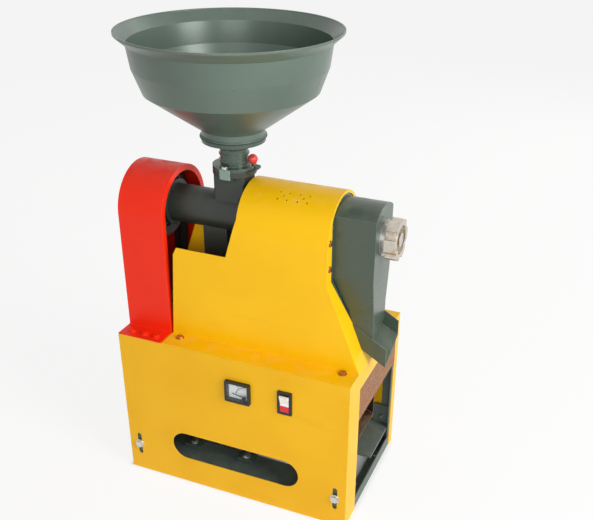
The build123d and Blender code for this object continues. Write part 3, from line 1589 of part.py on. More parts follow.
def meter_needle():
    """Thin pointer on its pivot pin, at zero."""
    y = front_y - needle_plane
    tip = pivot_x - needle_length
    hub = rod_y(needle_hub, y - needle_half, y + needle_half, pivot_x, pivot_z)
    hand = plate_xz([(pivot_x, pivot_z - needle_width), (tip, pivot_z + needle_rise - needle_tip),
                     (tip, pivot_z + needle_rise + needle_tip), (pivot_x, pivot_z + needle_width)],
                    y - needle_half, y + needle_half)
    pin_end = front_y + meter_room - dial_thickness - running_gap
    return hub + hand + rod_y(needle_pin, y, pin_end, pivot_x, pivot_z)


def meter_window():
    """Clear window in the bezel."""
    b = meter_border + running_gap
    hw, hh = meter_width / 2 - b, meter_height / 2 - b
    y0 = front_y - meter_proud + window_recess
    return block(meter_x - hw, meter_x + hw, y0, y0 + window_thickness, meter_z - hh, meter_z + hh)


def switch_frame():
    """Black rocker switch housing set through the front panel."""
    hw, hh = switch_width / 2, switch_height / 2
    rim = block(switch_x - hw, switch_x + hw, front_y - switch_proud, front_y, switch_z - hh, switch_z + hh)
    rim = fillet(rim.edges().filter_by(Axis.Y), switch_corner)
    back = block(switch_x - hw + body_inset, switch_x + hw - body_inset, front_y - 1, front_y + switch_depth,
                 switch_z - hh + body_inset, switch_z + hh - body_inset)
    b = switch_border + switch_well
    room = block(switch_x - hw + b, switch_x + hw - b, front_y - switch_proud - 1,
                 front_y + switch_well_depth, switch_z - hh + b, switch_z + hh - b)
    return rim + back - room


def switch_rocker():
    """White rocker with two shallow wings, tipped to its off side."""
    b = switch_border + switch_well + running_gap
    hw, hh = switch_width / 2 - b, switch_height / 2 - b - rocker_end_gap
    face = front_y - rocker_face
    root, neck = front_y + rocker_root, hh * rocker_neck
    profile = [(root, -neck), (face, -hh), (face - rocker_rise, -hh), (front_y - rocker_valley, 0),
               (face - rocker_rise, hh), (face, hh), (root, neck)]
    pivot = front_y + rocker_pivot
    rocker = Pos(0, pivot, 0) * Rot(rocker_tilt, 0, 0) * Pos(0, -pivot, 0) * plate_yz(profile, -hw, hw)
    return Pos(switch_x, 0, switch_z) * rocker


nodes = {
    "base_frame": base_frame,
    "front_panel": front_panel,
    "back_panel": back_panel,
    "left_panel": left_panel,
    "side_panel": side_panel,
    "deck_plate": deck_plate,
    "front_motor_beam": lambda: motor_beam(-1),
    "rear_motor_beam": lambda: motor_beam(1),
    "motor_bolts": motor_bolts,
    "stator_housing": stator_housing,
    "motor_end_shields": lambda: group([end_shield(-1), end_shield(1)]),
    "motor_bearings": lambda: group([motor_bearing(-1), motor_bearing(1)]),
    "motor_shaft": motor_shaft,
    "motor_fan": motor_fan,
    "fan_cowl": fan_cowl,
    "terminal_box": terminal_box,
    "capacitors": capacitors,
    "motor_pulley": lambda: pulley(motor_pulley_radius, motor_shaft_radius + shaft_gap, motor_axis, False),
    "mill_pulley": lambda: pulley(mill_pulley_radius, mill_bore + shaft_gap, shaft_height, True),
    "drive_belts": drive_belts,
    "belt_guard": belt_guard,
    "guard_bolts": guard_bolts,
    "hood": hood,
    "end_wall": end_wall,
    "wall_bolts": wall_bolts,
    "feed_casting": feed_casting,
    "gate_seat": gate_seat,
    "flange_bolts": flange_bolts,
    "deck_bolts": deck_bolts,
    "bearing_cover": bearing_cover,
    "mill_shaft": mill_shaft,
    "shaft_nuts": lambda: group([pulley_nut(), roller_nut()]),
    "mill_bearings": mill_bearings,
    "feed_screw": feed_screw,
    "milling_roller": milling_roller,
    "rice_screen": rice_screen,
    "screen_frame": screen_frame,
    "outlet_bracket": outlet_bracket,
    "huller_blade": huller_blade,
    "blade_holder": blade_holder,
    "mill_stand": mill_stand,
    "gate_guides": gate_guides,
    "slide_gate": slide_gate,
    "gate_knob": gate_knob,
    "feed_collar": feed_collar,
    "hopper": hopper,
    "outlet_housing": outlet_housing,
    "outlet_boss": outlet_boss,
    "pressure_spindle": pressure_spindle,
    "pressure_plate": pressure_plate,
    "pressure_spring": pressure_spring,
    "pressure_knob": pressure_knob,
    "rice_spout": rice_spout,
    "bran_chute": bran_chute,
    "meter_case": meter_case,
    "meter_dial": meter_dial,
    "meter_needle": meter_needle,
    "meter_window": meter_window,
    "switch_frame": switch_frame,
    "switch_rocker": switch_rocker,
}

os.makedirs("parts", exist_ok=True)
for name, make in nodes.items():
    export_step(make(), f"parts/{name}.step")
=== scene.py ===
"""Looks of a small rice huller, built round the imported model, which stays as it is.

Lengths in the constants are millimetres in the row frame; mm() turns them into metres.
"""
import logging
import math
from abc import ABC, abstractmethod
from collections.abc import Iterable, Sequence
from dataclasses import dataclass, field
from enum import Enum

import bmesh
import bpy
from mathutils import Matrix, Quaternion, Vector


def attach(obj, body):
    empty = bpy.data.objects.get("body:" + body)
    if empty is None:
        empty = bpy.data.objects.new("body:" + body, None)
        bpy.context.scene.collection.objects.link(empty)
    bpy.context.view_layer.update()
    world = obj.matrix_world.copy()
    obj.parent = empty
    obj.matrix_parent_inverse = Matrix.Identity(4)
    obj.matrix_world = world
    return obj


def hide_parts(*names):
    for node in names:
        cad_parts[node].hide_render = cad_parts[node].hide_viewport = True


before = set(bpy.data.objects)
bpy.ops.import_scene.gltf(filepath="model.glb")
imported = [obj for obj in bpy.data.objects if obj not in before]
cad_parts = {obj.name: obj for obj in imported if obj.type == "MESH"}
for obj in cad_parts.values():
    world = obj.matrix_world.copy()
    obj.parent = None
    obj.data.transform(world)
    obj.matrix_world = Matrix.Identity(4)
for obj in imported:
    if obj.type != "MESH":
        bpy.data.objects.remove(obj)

LOG = logging.getLogger("rice_huller")
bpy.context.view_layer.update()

Point = tuple[float, float, float]
Profile = Sequence[tuple[float, float]]

# Kinds of node that the finishes use most
NOISE, CELLS = "ShaderNodeTexNoise", "ShaderNodeTexVoronoi"
MAP_RANGE, MIX, BUMP = "ShaderNodeMapRange", "ShaderNodeMix", "ShaderNodeBump"
MATH, VECTOR_MATH, SEPARATE = "ShaderNodeMath", "ShaderNodeVectorMath", "ShaderNodeSeparateXYZ"
GEOMETRY, COORDINATES = "ShaderNodeNewGeometry", "ShaderNodeTexCoord"

# Sockets of a colour Mix node, whose names are shared with its number sockets, and its settings
MIX_FACTOR, MIX_A, MIX_B, MIX_RESULT = 0, 6, 7, 2
COLOURS = {"out": MIX_RESULT, "data_type": "RGBA"}
SMOOTH = {"interpolation_type": "SMOOTHSTEP"}
TIMES = {"operation": "MULTIPLY"}

# Where the machine's main lines lie
MILL_AXIS = (0.0, 0.0, 698.0)
MOTOR_AXIS = (0.0, 0.0, 160.0)
FEED_AXIS = (-45.0, 0.0, 0.0)
PANEL_FACE = -150.0
BACK_FACE = 218.0
DECK_TOP = 400.0
COLLAR_FOOT = 812.6
CASTING_FOOT = 412.0
SHEET = 2.0

# Steepest turn between faces that are still shaded as one, and how close points have to lie to be welded
SMOOTH_TURN = math.radians(35.0)
WELD = 0.001

# Ways that bolts and rings face
UP, RIGHT = (0.0, 0.0, 1.0), (1.0, 0.0, 0.0)
FORWARD, BACKWARD = (0.0, -1.0, 0.0), (0.0, 1.0, 0.0)

# The photograph's camera, and its frame
CAMERA_PLACE = (772.4, -1576.1, 1432.4)
CAMERA_AZIMUTH = 22.527
CAMERA_ELEVATION = 29.674
CAMERA_ROLL = 0.447
CAMERA_LENS = 51.02
CAMERA_SHIFT = (-0.0097, 0.0964)


def mm(length: float) -> float:
    """Length in metres of a length in millimetres."""
    return length / 1000.0


def metres(point: Point) -> Vector:
    """Point in metres of a point in millimetres."""
    return Vector(point) / 1000.0


def per_mm(size: float) -> float:
    """Texture scale at which one feature is about this many millimetres wide."""
    return 1000.0 / size


def linear(hex_colour: str) -> tuple[float, float, float, float]:
    """Turns an sRGB colour into Blender's linear colour.

    Args:
        hex_colour: six hex digits after a hash, as on a paint chart.

    Returns:
        Red, green, blue and an alpha of 1, all linear.
    """
    channels = []
    for start in (1, 3, 5):
        value = int(hex_colour[start:start + 2], 16) / 255.0
        channels.append(value / 12.92 if value <= 0.04045 else ((value + 0.055) / 1.055) ** 2.4)
    return channels[0], channels[1], channels[2], 1.0


# Materials
def add(tree: bpy.types.NodeTree, kind: str, inputs: dict | Sequence = (), out: int | str = 0,
        **settings) -> bpy.types.NodeSocket:
    """Adds a shader node, sets it up and feeds its inputs.

    Args:
        tree: node tree that the node goes in.
        kind: Blender's name of the node type.
        inputs: values, or output sockets that feed the inputs, in the inputs' order or by name or number.
        out: number or name of the output that is wanted.
        **settings: the node's own properties.

    Returns:
        The wanted output socket of the new node.
    """
    node = tree.nodes.new(kind)
    for name, value in settings.items():
        setattr(node, name, value)
    for key, value in (inputs.items() if isinstance(inputs, dict) else enumerate(inputs)):
        if isinstance(value, bpy.types.NodeSocket):
            tree.links.new(value, node.inputs[key])
        else:
            node.inputs[key].default_value = value
    return node.outputs[out]


class Turned(Enum):
    """Line along X that a turned part's tool marks run round; the value is a point on it."""

    NONE = None
    MILL = MILL_AXIS
    MOTOR = MOTOR_AXIS


@dataclass(frozen=True)
class Surface:
    """What a finish works on: a material's nodes, the point on the surface and the softened normal."""

    tree: bpy.types.NodeTree
    shader: bpy.types.Node
    place: bpy.types.NodeSocket
    rounded: bpy.types.NodeSocket

    def edges(self) -> bpy.types.NodeSocket:
        """Mask that is 1 on edges and 0 on open faces."""
        sharp = add(self.tree, GEOMETRY, out="Normal")
        along = add(self.tree, VECTOR_MATH, (self.rounded, sharp), "Value", operation="DOT_PRODUCT")
        return add(self.tree, MAP_RANGE, (along, 0.985, 0.80, 0.0, 1.0), **SMOOTH)

    def tops(self) -> bpy.types.NodeSocket:
        """Mask that is 1 on faces that look up, where dust settles."""
        height = add(self.tree, SEPARATE, (add(self.tree, GEOMETRY, out="Normal"),), "Z")
        return add(self.tree, MAP_RANGE, (height, 0.55, 0.98, 0.0, 1.0), **SMOOTH)

    def feed(self, **sockets: bpy.types.NodeSocket) -> None:
        """Links output sockets to the shader's inputs, with _ for a space in their names."""
        for name, socket in sockets.items():
            self.tree.links.new(socket, self.shader.inputs[name.replace("_", " ")])


@dataclass(frozen=True)
class Finish(ABC):
    """What a surface is made of and how it was finished."""

    name: str
    colour: str
    roughness: float

    @abstractmethod
    def shade(self, on: Surface) -> None:
        """Feeds the surface shader.

        Args:
            on: the surface that gets the finish.
        """

    def material(self) -> bpy.types.Material:
        """Makes the finish's material, or finds it if it is there already.

        Returns:
            The material, with procedural nodes only.
        """
        made = bpy.data.materials.get(self.name)
        if made is not None:
            return made
        made = bpy.data.materials.new(self.name)
        made.use_nodes = True
        made.diffuse_color = linear(self.colour)
        tree = made.node_tree
        place = add(tree, COORDINATES, out="Object")
        rounded = add(tree, "ShaderNodeBevel", (mm(self.edge_radius()),), samples=4)
        self.shade(Surface(tree, tree.nodes["Principled BSDF"], place, rounded))
        return made

    def edge_radius(self) -> float:
        """Radius of the softened edges, in millimetres."""
        return 0.8


@dataclass(frozen=True)
class StovedEnamel(Finish):
    """Sprayed and stoved enamel: even gloss, orange peel, handling smudges, rubbed edges and mill dust.

    The sizes of its patterns and the depths of its relief are in millimetres.
    """

    smudge: str
    worn: str
    peel: float = 1.8
    dust: float = 0.06
    hammer: float = 0.0
    flake: float = 0.0
    reflection: float = 0.5
    bran: str = "#e3d6b4"
    sheet_patch: float = 170.0
    streak: float = 55.0
    rub: float = 1.1
    bran_patch: float = 28.0
    wave_depth: float = 1.2
    peel_depth: float = 0.25

    def shade(self, on: Surface) -> None:
        """Feeds the surface shader; see Finish.shade."""
        tree, place = on.tree, on.place
        smudge = linear(self.smudge)
        broad = add(tree, NOISE, {"Vector": place, "Scale": per_mm(self.sheet_patch), "Detail": 3.0})
        drawn = add(tree, "ShaderNodeMapping", {"Vector": place, "Scale": (0.35, 1.0, 2.2)})
        streaks = add(tree, NOISE, {"Vector": drawn, "Scale": per_mm(self.streak), "Detail": 5.0})
        fine = add(tree, NOISE, {"Vector": place, "Scale": per_mm(self.rub), "Detail": 2.0})
        # Slow change of tone over a sprayed sheet, and soft smudges left by hands and meal
        share = add(tree, MAP_RANGE, (broad, 0.35, 0.7, 0.0, 0.35), **SMOOTH)
        tone = add(tree, MIX, {MIX_FACTOR: share, MIX_A: linear(self.colour), MIX_B: smudge}, **COLOURS)
        share = add(tree, MAP_RANGE, (streaks, 0.60, 0.78, 0.0, 0.25), **SMOOTH)
        tone = add(tree, MIX, {MIX_FACTOR: share, MIX_A: tone, MIX_B: smudge}, **COLOURS)
        # Paint is thinner and rubbed on folded edges
        rubbed = add(tree, MAP_RANGE, (fine, 0.30, 0.62, 0.25, 1.0), **SMOOTH)
        share = add(tree, MATH, (on.edges(), rubbed), **TIMES)
        tone = add(tree, MIX, {MIX_FACTOR: share, MIX_A: tone, MIX_B: linear(self.worn)}, **COLOURS)
        # Pale bran dust lies on what looks up
        settled = add(tree, NOISE, {"Vector": place, "Scale": per_mm(self.bran_patch), "Detail": 6.0})
        settled = add(tree, MAP_RANGE, (settled, 0.42, 0.75, 0.0, 1.0), **SMOOTH)
        dusty = add(tree, MATH, (on.tops(), settled), **TIMES)
        share = add(tree, MATH, (dusty, self.dust), **TIMES)
        tone = add(tree, MIX, {MIX_FACTOR: share, MIX_A: tone, MIX_B: linear(self.bran)}, **COLOURS)
        gloss = add(tree, MAP_RANGE, (broad, 0.3, 0.75, self.roughness - 0.03, self.roughness + 0.08),
                    **SMOOTH)
        dull = add(tree, MATH, (dusty, 0.25), **TIMES)
        gloss = add(tree, MATH, (gloss, dull), operation="ADD")
        on.shader.inputs["IOR"].default_value = 1.52
        # Aluminium flake in the paint, which gives it a soft metal sheen
        on.shader.inputs["Metallic"].default_value = self.flake
        on.shader.inputs["Specular IOR Level"].default_value = self.reflection
        # Slight waves of thin sheet, then orange peel or the dimples of hammer enamel
        wave = add(tree, BUMP, {"Height": broad, "Normal": on.rounded, "Strength": 0.25,
                                "Distance": mm(self.wave_depth)})
        if self.hammer:
            skin = add(tree, CELLS, {"Vector": place, "Scale": per_mm(self.hammer), "Smoothness": 0.6},
                       "Distance", feature="SMOOTH_F1")
        else:
            skin = add(tree, NOISE, {"Vector": place, "Scale": per_mm(self.peel), "Detail": 1.0})
        normal = add(tree, BUMP, {"Height": skin, "Normal": wave, "Strength": 0.12,
                                  "Distance": mm(self.peel_depth)})
        on.feed(Base_Color=tone, Roughness=gloss, Normal=normal)


@dataclass(frozen=True)
class WorkedMetal(Finish):
    """Bare or plated metal: tool marks or spangle, stain patches that on some finishes are painted light,
    bright edges.

    The sizes of its patterns and the depths of its relief are in millimetres.
    """

    # Stain colour; on the aluminium knob it is painted warm reflection, on the zinc side sheet and chute
    # painted shade
    stain_and_painted_light: str
    turned: Turned = Turned.NONE
    mark: float = 0.7
    spangle: float = 0.0
    pitted: float = 0.0
    bright: str = "#edecea"
    patch_size: float = 22.0
    mark_depth: float = 0.12
    pit_depth: float = 0.5

    def shade(self, on: Surface) -> None:
        """Feeds the surface shader; see Finish.shade."""
        tree, place = on.tree, on.place
        on.shader.inputs["Metallic"].default_value = 1.0
        marks = self.marks(tree, place)
        # Stain in patches, painted reflection and shade on some finishes, and marks that break the gloss up
        patches = add(tree, NOISE, {"Vector": place, "Scale": per_mm(self.patch_size), "Detail": 6.0})
        share = add(tree, MAP_RANGE, (patches, 0.45, 0.75, 0.0, 0.6), **SMOOTH)
        tone = add(tree, MIX, {MIX_FACTOR: share, MIX_A: linear(self.colour), MIX_B: linear(self.stain_and_painted_light)},
                   **COLOURS)
        rough = add(tree, MAP_RANGE, (marks, 0.25, 0.75, self.roughness - 0.07, self.roughness + 0.08),
                    **SMOOTH)
        if self.spangle:
            # Zinc crystals differ in tone and gloss
            cells = add(tree, CELLS, {"Vector": place, "Scale": per_mm(self.spangle)}, "Color")
            shine = add(tree, SEPARATE, (cells,), "X")
            share = add(tree, MAP_RANGE, (shine, 0.0, 1.0, 0.0, 0.28), **SMOOTH)
            tone = add(tree, MIX, {MIX_FACTOR: share, MIX_A: tone, MIX_B: linear(self.stain_and_painted_light)}, **COLOURS)
            rough = add(tree, MAP_RANGE, (shine, 0.0, 1.0, self.roughness - 0.10, self.roughness + 0.12),
                        **SMOOTH)
        share = add(tree, MATH, (on.edges(), 0.5), **TIMES)
        tone = add(tree, MIX, {MIX_FACTOR: share, MIX_A: tone, MIX_B: linear(self.bright)}, **COLOURS)
        normal = add(tree, BUMP, {"Height": marks, "Normal": on.rounded, "Strength": 0.18,
                                  "Distance": mm(self.mark_depth)})
        if self.pitted:
            pits = add(tree, NOISE, {"Vector": place, "Scale": per_mm(self.pitted), "Detail": 4.0})
            normal = add(tree, BUMP, {"Height": pits, "Normal": normal, "Strength": 0.35,
                                      "Distance": mm(self.pit_depth)})
        on.feed(Base_Color=tone, Roughness=rough, Normal=normal)

    def marks(self, tree: bpy.types.NodeTree, place: bpy.types.NodeSocket) -> bpy.types.NodeSocket:
        """Height of the tool marks: rings round the turning axis, or a fine even grain.

        Args:
            tree: node tree of the material.
            place: socket with the point on the surface.

        Returns:
            Socket with the height, from 0 to 1.
        """
        if self.turned is Turned.NONE:
            return add(tree, NOISE, {"Vector": place, "Scale": per_mm(self.mark), "Detail": 2.0})
        away = add(tree, VECTOR_MATH, (place, metres(self.turned.value)), operation="SUBTRACT")
        across = add(tree, VECTOR_MATH, (away, (0.0, 1.0, 1.0)), operation="MULTIPLY")
        radius = add(tree, VECTOR_MATH, (across,), "Value", operation="LENGTH")
        along = add(tree, SEPARATE, (away,), "X")
        rings = add(tree, "ShaderNodeCombineXYZ", (radius, along))
        return add(tree, NOISE, {"Vector": rings, "Scale": per_mm(self.mark), "Detail": 3.0})


@dataclass(frozen=True)
class Moulded(Finish):
    """Moulded plastic, rubber or printed card: even colour with a fine grain and a little grime.

    The sizes of its patterns and the depth of its grain are in millimetres.
    """

    grime: str
    grain: float = 0.5
    relief: float = 0.12
    grime_patch: float = 14.0
    grain_depth: float = 0.1

    def shade(self, on: Surface) -> None:
        """Feeds the surface shader; see Finish.shade."""
        tree, place = on.tree, on.place
        patches = add(tree, NOISE, {"Vector": place, "Scale": per_mm(self.grime_patch), "Detail": 4.0})
        share = add(tree, MAP_RANGE, (patches, 0.45, 0.8, 0.0, 0.5), **SMOOTH)
        tone = add(tree, MIX, {MIX_FACTOR: share, MIX_A: linear(self.colour), MIX_B: linear(self.grime)},
                   **COLOURS)
        rough = add(tree, MAP_RANGE, (patches, 0.3, 0.7, self.roughness - 0.04, self.roughness + 0.08),
                    **SMOOTH)
        grain = add(tree, NOISE, {"Vector": place, "Scale": per_mm(self.grain), "Detail": 2.0})
        normal = add(tree, BUMP, {"Height": grain, "Normal": on.rounded, "Strength": self.relief,
                                  "Distance": mm(self.grain_depth)})
        on.feed(Base_Color=tone, Roughness=rough, Normal=normal)

    def edge_radius(self) -> float:
        """Radius of the softened edges, in millimetres."""
        return 0.5


@dataclass(frozen=True)
class TwoColourRocker(Moulded):
    """Moulded rocker whose lower end is a coloured lens."""

    lens: str = "#d8232a"
    lens_top: float = 312.0
    lens_seam: float = 0.6

    def shade(self, on: Surface) -> None:
        """Feeds the surface shader, with the lens over the plain moulding; see Finish.shade."""
        super().shade(on)
        plain = on.shader.inputs["Base Color"].links[0].from_socket
        height = add(on.tree, SEPARATE, (on.place,), "Z")
        seam = mm(self.lens_top + self.lens_seam)
        low = add(on.tree, MAP_RANGE, (height, seam, mm(self.lens_top), 0.0, 1.0), **SMOOTH)
        on.feed(Base_Color=add(on.tree, MIX, {MIX_FACTOR: low, MIX_A: plain, MIX_B: linear(self.lens)},
                               **COLOURS))


@dataclass(frozen=True)
class ClearWindow(Finish):
    """Clear moulded window: mostly see-through, with a faint hairline-scratched gloss."""

    opacity: float = 0.05
    hairline: float = 0.6

    def shade(self, on: Surface) -> None:
        """Feeds the surface shader; see Finish.shade."""
        on.shader.inputs["Base Color"].default_value = linear(self.colour)
        on.shader.inputs["Alpha"].default_value = self.opacity
        on.shader.inputs["IOR"].default_value = 1.49
        hairlines = add(on.tree, NOISE, {"Vector": on.place, "Scale": per_mm(self.hairline), "Detail": 4.0})
        rough = add(on.tree, MAP_RANGE, (hairlines, 0.4, 0.8, self.roughness, self.roughness + 0.08),
                    **SMOOTH)
        on.feed(Roughness=rough, Normal=on.rounded)


class Finishes:
    """Every finish of the machine, by what it is in the workshop."""

    # Machine yellow, sprayed and stoved on folded sheet: an even warm gloss that pales at the folds
    HOOD_YELLOW = StovedEnamel("hood_yellow_stoved_enamel", "#f6bf02", 0.36, "#eaae02", "#fbe262",
                               reflection=0.3)
    CABINET_YELLOW = StovedEnamel("cabinet_yellow_stoved_enamel", "#efb604", 0.38, "#e0a202", "#f9da5a",
                                  reflection=0.3)
    # Safety red on the belt guard: clean, with rosy rubbed edges
    GUARD_RED = StovedEnamel("guard_red_stoved_enamel", "#f22a06", 0.34, "#de2204", "#ea6a4c", dust=0.0,
                             reflection=0.3)
    # Grey-green hammer enamel on spun and cast parts: dimpled, and a little metallic to the eye
    HOPPER_GREY = StovedEnamel("hopper_grey_hammer_enamel", "#5a6a60", 0.30, "#46544c", "#93a197", hammer=2.6,
                               flake=0.15)
    CASTING_GREY = StovedEnamel("casting_grey_enamel", "#2c332c", 0.40, "#232924", "#667068", peel=2.6)
    COLLAR_GREY = StovedEnamel("collar_grey_enamel", "#4c5b52", 0.20, "#3a4840", "#b4c0b8", peel=2.2,
                               flake=0.3)
    OUTLET_GREY = StovedEnamel("outlet_grey_enamel", "#445144", 0.28, "#3a463c", "#98a498")
    MOTOR_GREEN = StovedEnamel("motor_grey_green_enamel", "#414d46", 0.42, "#333d37", "#86928a", peel=2.2)
    # Painted light: the frame's primer grey is lighter than its own colour, to make up for the shade the
    # beams stand in inside the cabinet
    FRAME_GREY_PAINTED_LIGHT = StovedEnamel("frame_grey_primer_painted_light", "#5c6761", 0.50, "#4a544e", "#88918b", peel=1.2)
    # Passivated zinc: spangled side sheet whose tan-brown tone is painted shade and warm reflection, gold on
    # outer bolts and a clear shine on the rest
    SIDE_SHEET_PAINTED_SHADE = WorkedMetal("zinc_side_sheet_painted_shade", "#a96a28", 0.40, "#8a5422", spangle=3.0)
    # Painted shade: the bran chute's sheet gets a dark brown far below zinc's own grey, for the shade it
    # stands in under the deck
    CHUTE_SHEET_PAINTED_SHADE = WorkedMetal("chute_sheet_painted_shade", "#4e3b28", 0.50, "#35281b", spangle=3.0)
    GOLD_BOLT = WorkedMetal("yellow_passivated_bolts", "#b98a4a", 0.28, "#76522c")
    BRIGHT_BOLT = WorkedMetal("clear_zinc_bolts", "#d2d2cc", 0.30, "#a4a49c")
    # Machined and cast metal: fine rings round the shafts, dark pitted iron, and cast aluminium whose brown
    # patches are painted warm reflection
    MILL_STEEL = WorkedMetal("turned_steel_mill_line", "#b9b9b4", 0.30, "#8f8f88", Turned.MILL)
    MOTOR_STEEL = WorkedMetal("turned_steel_motor_line", "#b4b4b0", 0.30, "#8c8c86", Turned.MOTOR)
    MILL_IRON = WorkedMetal("cast_iron_mill_line", "#6a6b6a", 0.48, "#494a49", Turned.MILL, pitted=1.6)
    MOTOR_IRON = WorkedMetal("cast_iron_motor_line", "#666766", 0.48, "#454645", Turned.MOTOR, pitted=1.6)
    PLAIN_STEEL = WorkedMetal("ground_steel", "#b0b1ac", 0.36, "#878882")
    PHOSPHATED_STEEL = WorkedMetal("phosphated_steel_plate", "#8a9f94", 0.32, "#6c8076")
    # Painted reflection: the knob's brown patches stand for warm surroundings seen in its lobes
    CAST_ALUMINIUM = WorkedMetal("cast_aluminium_painted_reflection", "#cdc6b8", 0.26, "#94684e", Turned.MILL,
                                 pitted=2.4)
    # Moulded parts: dull rubber, satin nylon, a glossy ball, a matt card and a clear pane
    BELT_RUBBER = Moulded("fabric_covered_rubber", "#1d1c1b", 0.78, "#33302c", 0.8, 0.5)
    GASKET_RUBBER = Moulded("black_joint_rubber", "#161716", 0.70, "#2a2b29", 0.8, 0.3)
    FAN_NYLON = Moulded("black_nylon", "#1b1c1d", 0.50, "#2c2c2b")
    RED_PHENOLIC = Moulded("red_phenolic_ball", "#d0392f", 0.22, "#b52c24", 2.0, 0.05)
    BEZEL_BLACK = Moulded("black_moulded_bezel", "#1c1a19", 0.35, "#2b2826")
    DIAL_CARD = Moulded("printed_dial_card", "#f0f6f6", 0.60, "#e0eaea", 0.4, 0.03)
    INK_BLACK = Moulded("black_printing_ink", "#181818", 0.60, "#222222", 0.4, 0.02)
    ROCKER_WHITE = TwoColourRocker("white_rocker_red_lens", "#efece6", 0.28, "#e2ddd2", 0.6, 0.04)
    WINDOW_CLEAR = ClearWindow("clear_acrylic_pane", "#c9d6d8", 0.04)


NODE_FINISHES: dict[Finish, tuple[str, ...]] = {
    Finishes.HOOD_YELLOW: ("hood", "mill_stand"),
    Finishes.CABINET_YELLOW: ("front_panel", "back_panel", "left_panel", "deck_plate"),
    Finishes.GUARD_RED: ("belt_guard", "guard_bolts"),
    Finishes.HOPPER_GREY: ("hopper",),
    Finishes.CASTING_GREY: ("feed_casting", "bearing_cover", "slide_gate", "gate_guides", "gate_seat"),
    Finishes.COLLAR_GREY: ("feed_collar",),
    Finishes.OUTLET_GREY: ("outlet_housing", "rice_spout", "end_wall"),
    Finishes.MOTOR_GREEN: ("stator_housing", "motor_end_shields", "fan_cowl", "terminal_box", "capacitors"),
    Finishes.FRAME_GREY_PAINTED_LIGHT: ("base_frame", "front_motor_beam", "rear_motor_beam"),
    Finishes.SIDE_SHEET_PAINTED_SHADE: ("side_panel",),
    Finishes.CHUTE_SHEET_PAINTED_SHADE: ("bran_chute",),
    Finishes.GOLD_BOLT: ("deck_bolts", "wall_bolts"),
    Finishes.BRIGHT_BOLT: ("motor_bolts", "flange_bolts", "shaft_nuts"),
    Finishes.MILL_STEEL: ("mill_shaft", "mill_bearings", "outlet_boss", "pressure_spindle"),
    Finishes.MOTOR_STEEL: ("motor_shaft", "motor_bearings"),
    Finishes.MILL_IRON: ("mill_pulley", "feed_screw", "milling_roller", "screen_frame", "outlet_bracket",
                         "pressure_plate"),
    Finishes.MOTOR_IRON: ("motor_pulley",),
    Finishes.PLAIN_STEEL: ("rice_screen", "huller_blade", "blade_holder", "pressure_spring"),
    Finishes.CAST_ALUMINIUM: ("pressure_knob",),
    Finishes.BELT_RUBBER: ("drive_belts",),
    Finishes.FAN_NYLON: ("motor_fan",),
    Finishes.RED_PHENOLIC: ("gate_knob",),
    Finishes.BEZEL_BLACK: ("meter_case", "switch_frame"),
    Finishes.DIAL_CARD: ("meter_dial",),
    Finishes.INK_BLACK: ("meter_needle",),
    Finishes.ROCKER_WHITE: ("switch_rocker",),
    Finishes.WINDOW_CLEAR: ("meter_window",),
}


def dress_nodes() -> None:
    """Gives every CAD node its finish."""
    for finish, nodes in NODE_FINISHES.items():
        for node in nodes:
            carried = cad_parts[node]
            carried.data.materials.clear()
            carried.data.materials.append(finish.material())
    bare = set(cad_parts) - {n for nodes in NODE_FINISHES.values() for n in nodes}
    LOG.info("dressed %d nodes, bare: %s", len(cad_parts), sorted(bare))


# Mesh pieces
def piece_of(name: str, mesh: bmesh.types.BMesh, finish: Finish, body: str,
             smooth: bool = True) -> bpy.types.Object:
    """Turns a mesh into a piece that rides on a body.

    Args:
        name: the piece's name.
        mesh: its mesh, in the row frame, in metres; it is freed here.
        finish: its finish.
        body: CAD body that it rides on.
        smooth: whether faces that turn little from each other are shaded as one.

    Returns:
        The new object.
    """
    bmesh.ops.recalc_face_normals(mesh, faces=mesh.faces)
    data = bpy.data.meshes.new(name)
    mesh.to_mesh(data)
    mesh.free()
    data.materials.append(finish.material())
    piece = bpy.data.objects.new(name, data)
    bpy.context.scene.collection.objects.link(piece)
    if smooth:
        data.shade_smooth()
        data.set_sharp_from_angle(angle=SMOOTH_TURN)
    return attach(piece, body)


def add_lathe(mesh: bmesh.types.BMesh, profile: Profile, place: Point, direction: Point,
              segments: int = 32) -> None:
    """Adds a closed turned ring to a mesh.

    Args:
        mesh: mesh that it is added to.
        profile: closed outline of (radius, height) points, in millimetres.
        place: where height 0 lies on the axis, in millimetres.
        direction: the axis, along which the height rises.
        segments: steps round the axis.
    """
    turn = Vector(UP).rotation_difference(Vector(direction)).to_matrix().to_4x4()
    turn = Matrix.Translation(metres(place)) @ turn
    rings = []
    for step in range(segments):
        angle = 2.0 * math.pi * step / segments
        row = [Vector((mm(r) * math.cos(angle), mm(r) * math.sin(angle), mm(h))) for r, h in profile]
        rings.append([mesh.verts.new(turn @ corner) for corner in row])
    count = len(profile)
    for step in range(segments):
        here, there = rings[step], rings[(step + 1) % segments]
        for i in range(count):
            j = (i + 1) % count
            mesh.faces.new((here[i], there[i], there[j], here[j]))
    # Points on the axis come together, and the faces between them go
    bmesh.ops.remove_doubles(mesh, verts=mesh.verts, dist=mm(WELD))
    loose = [edge for edge in mesh.edges if not edge.link_faces]
    bmesh.ops.delete(mesh, geom=loose, context="EDGES")


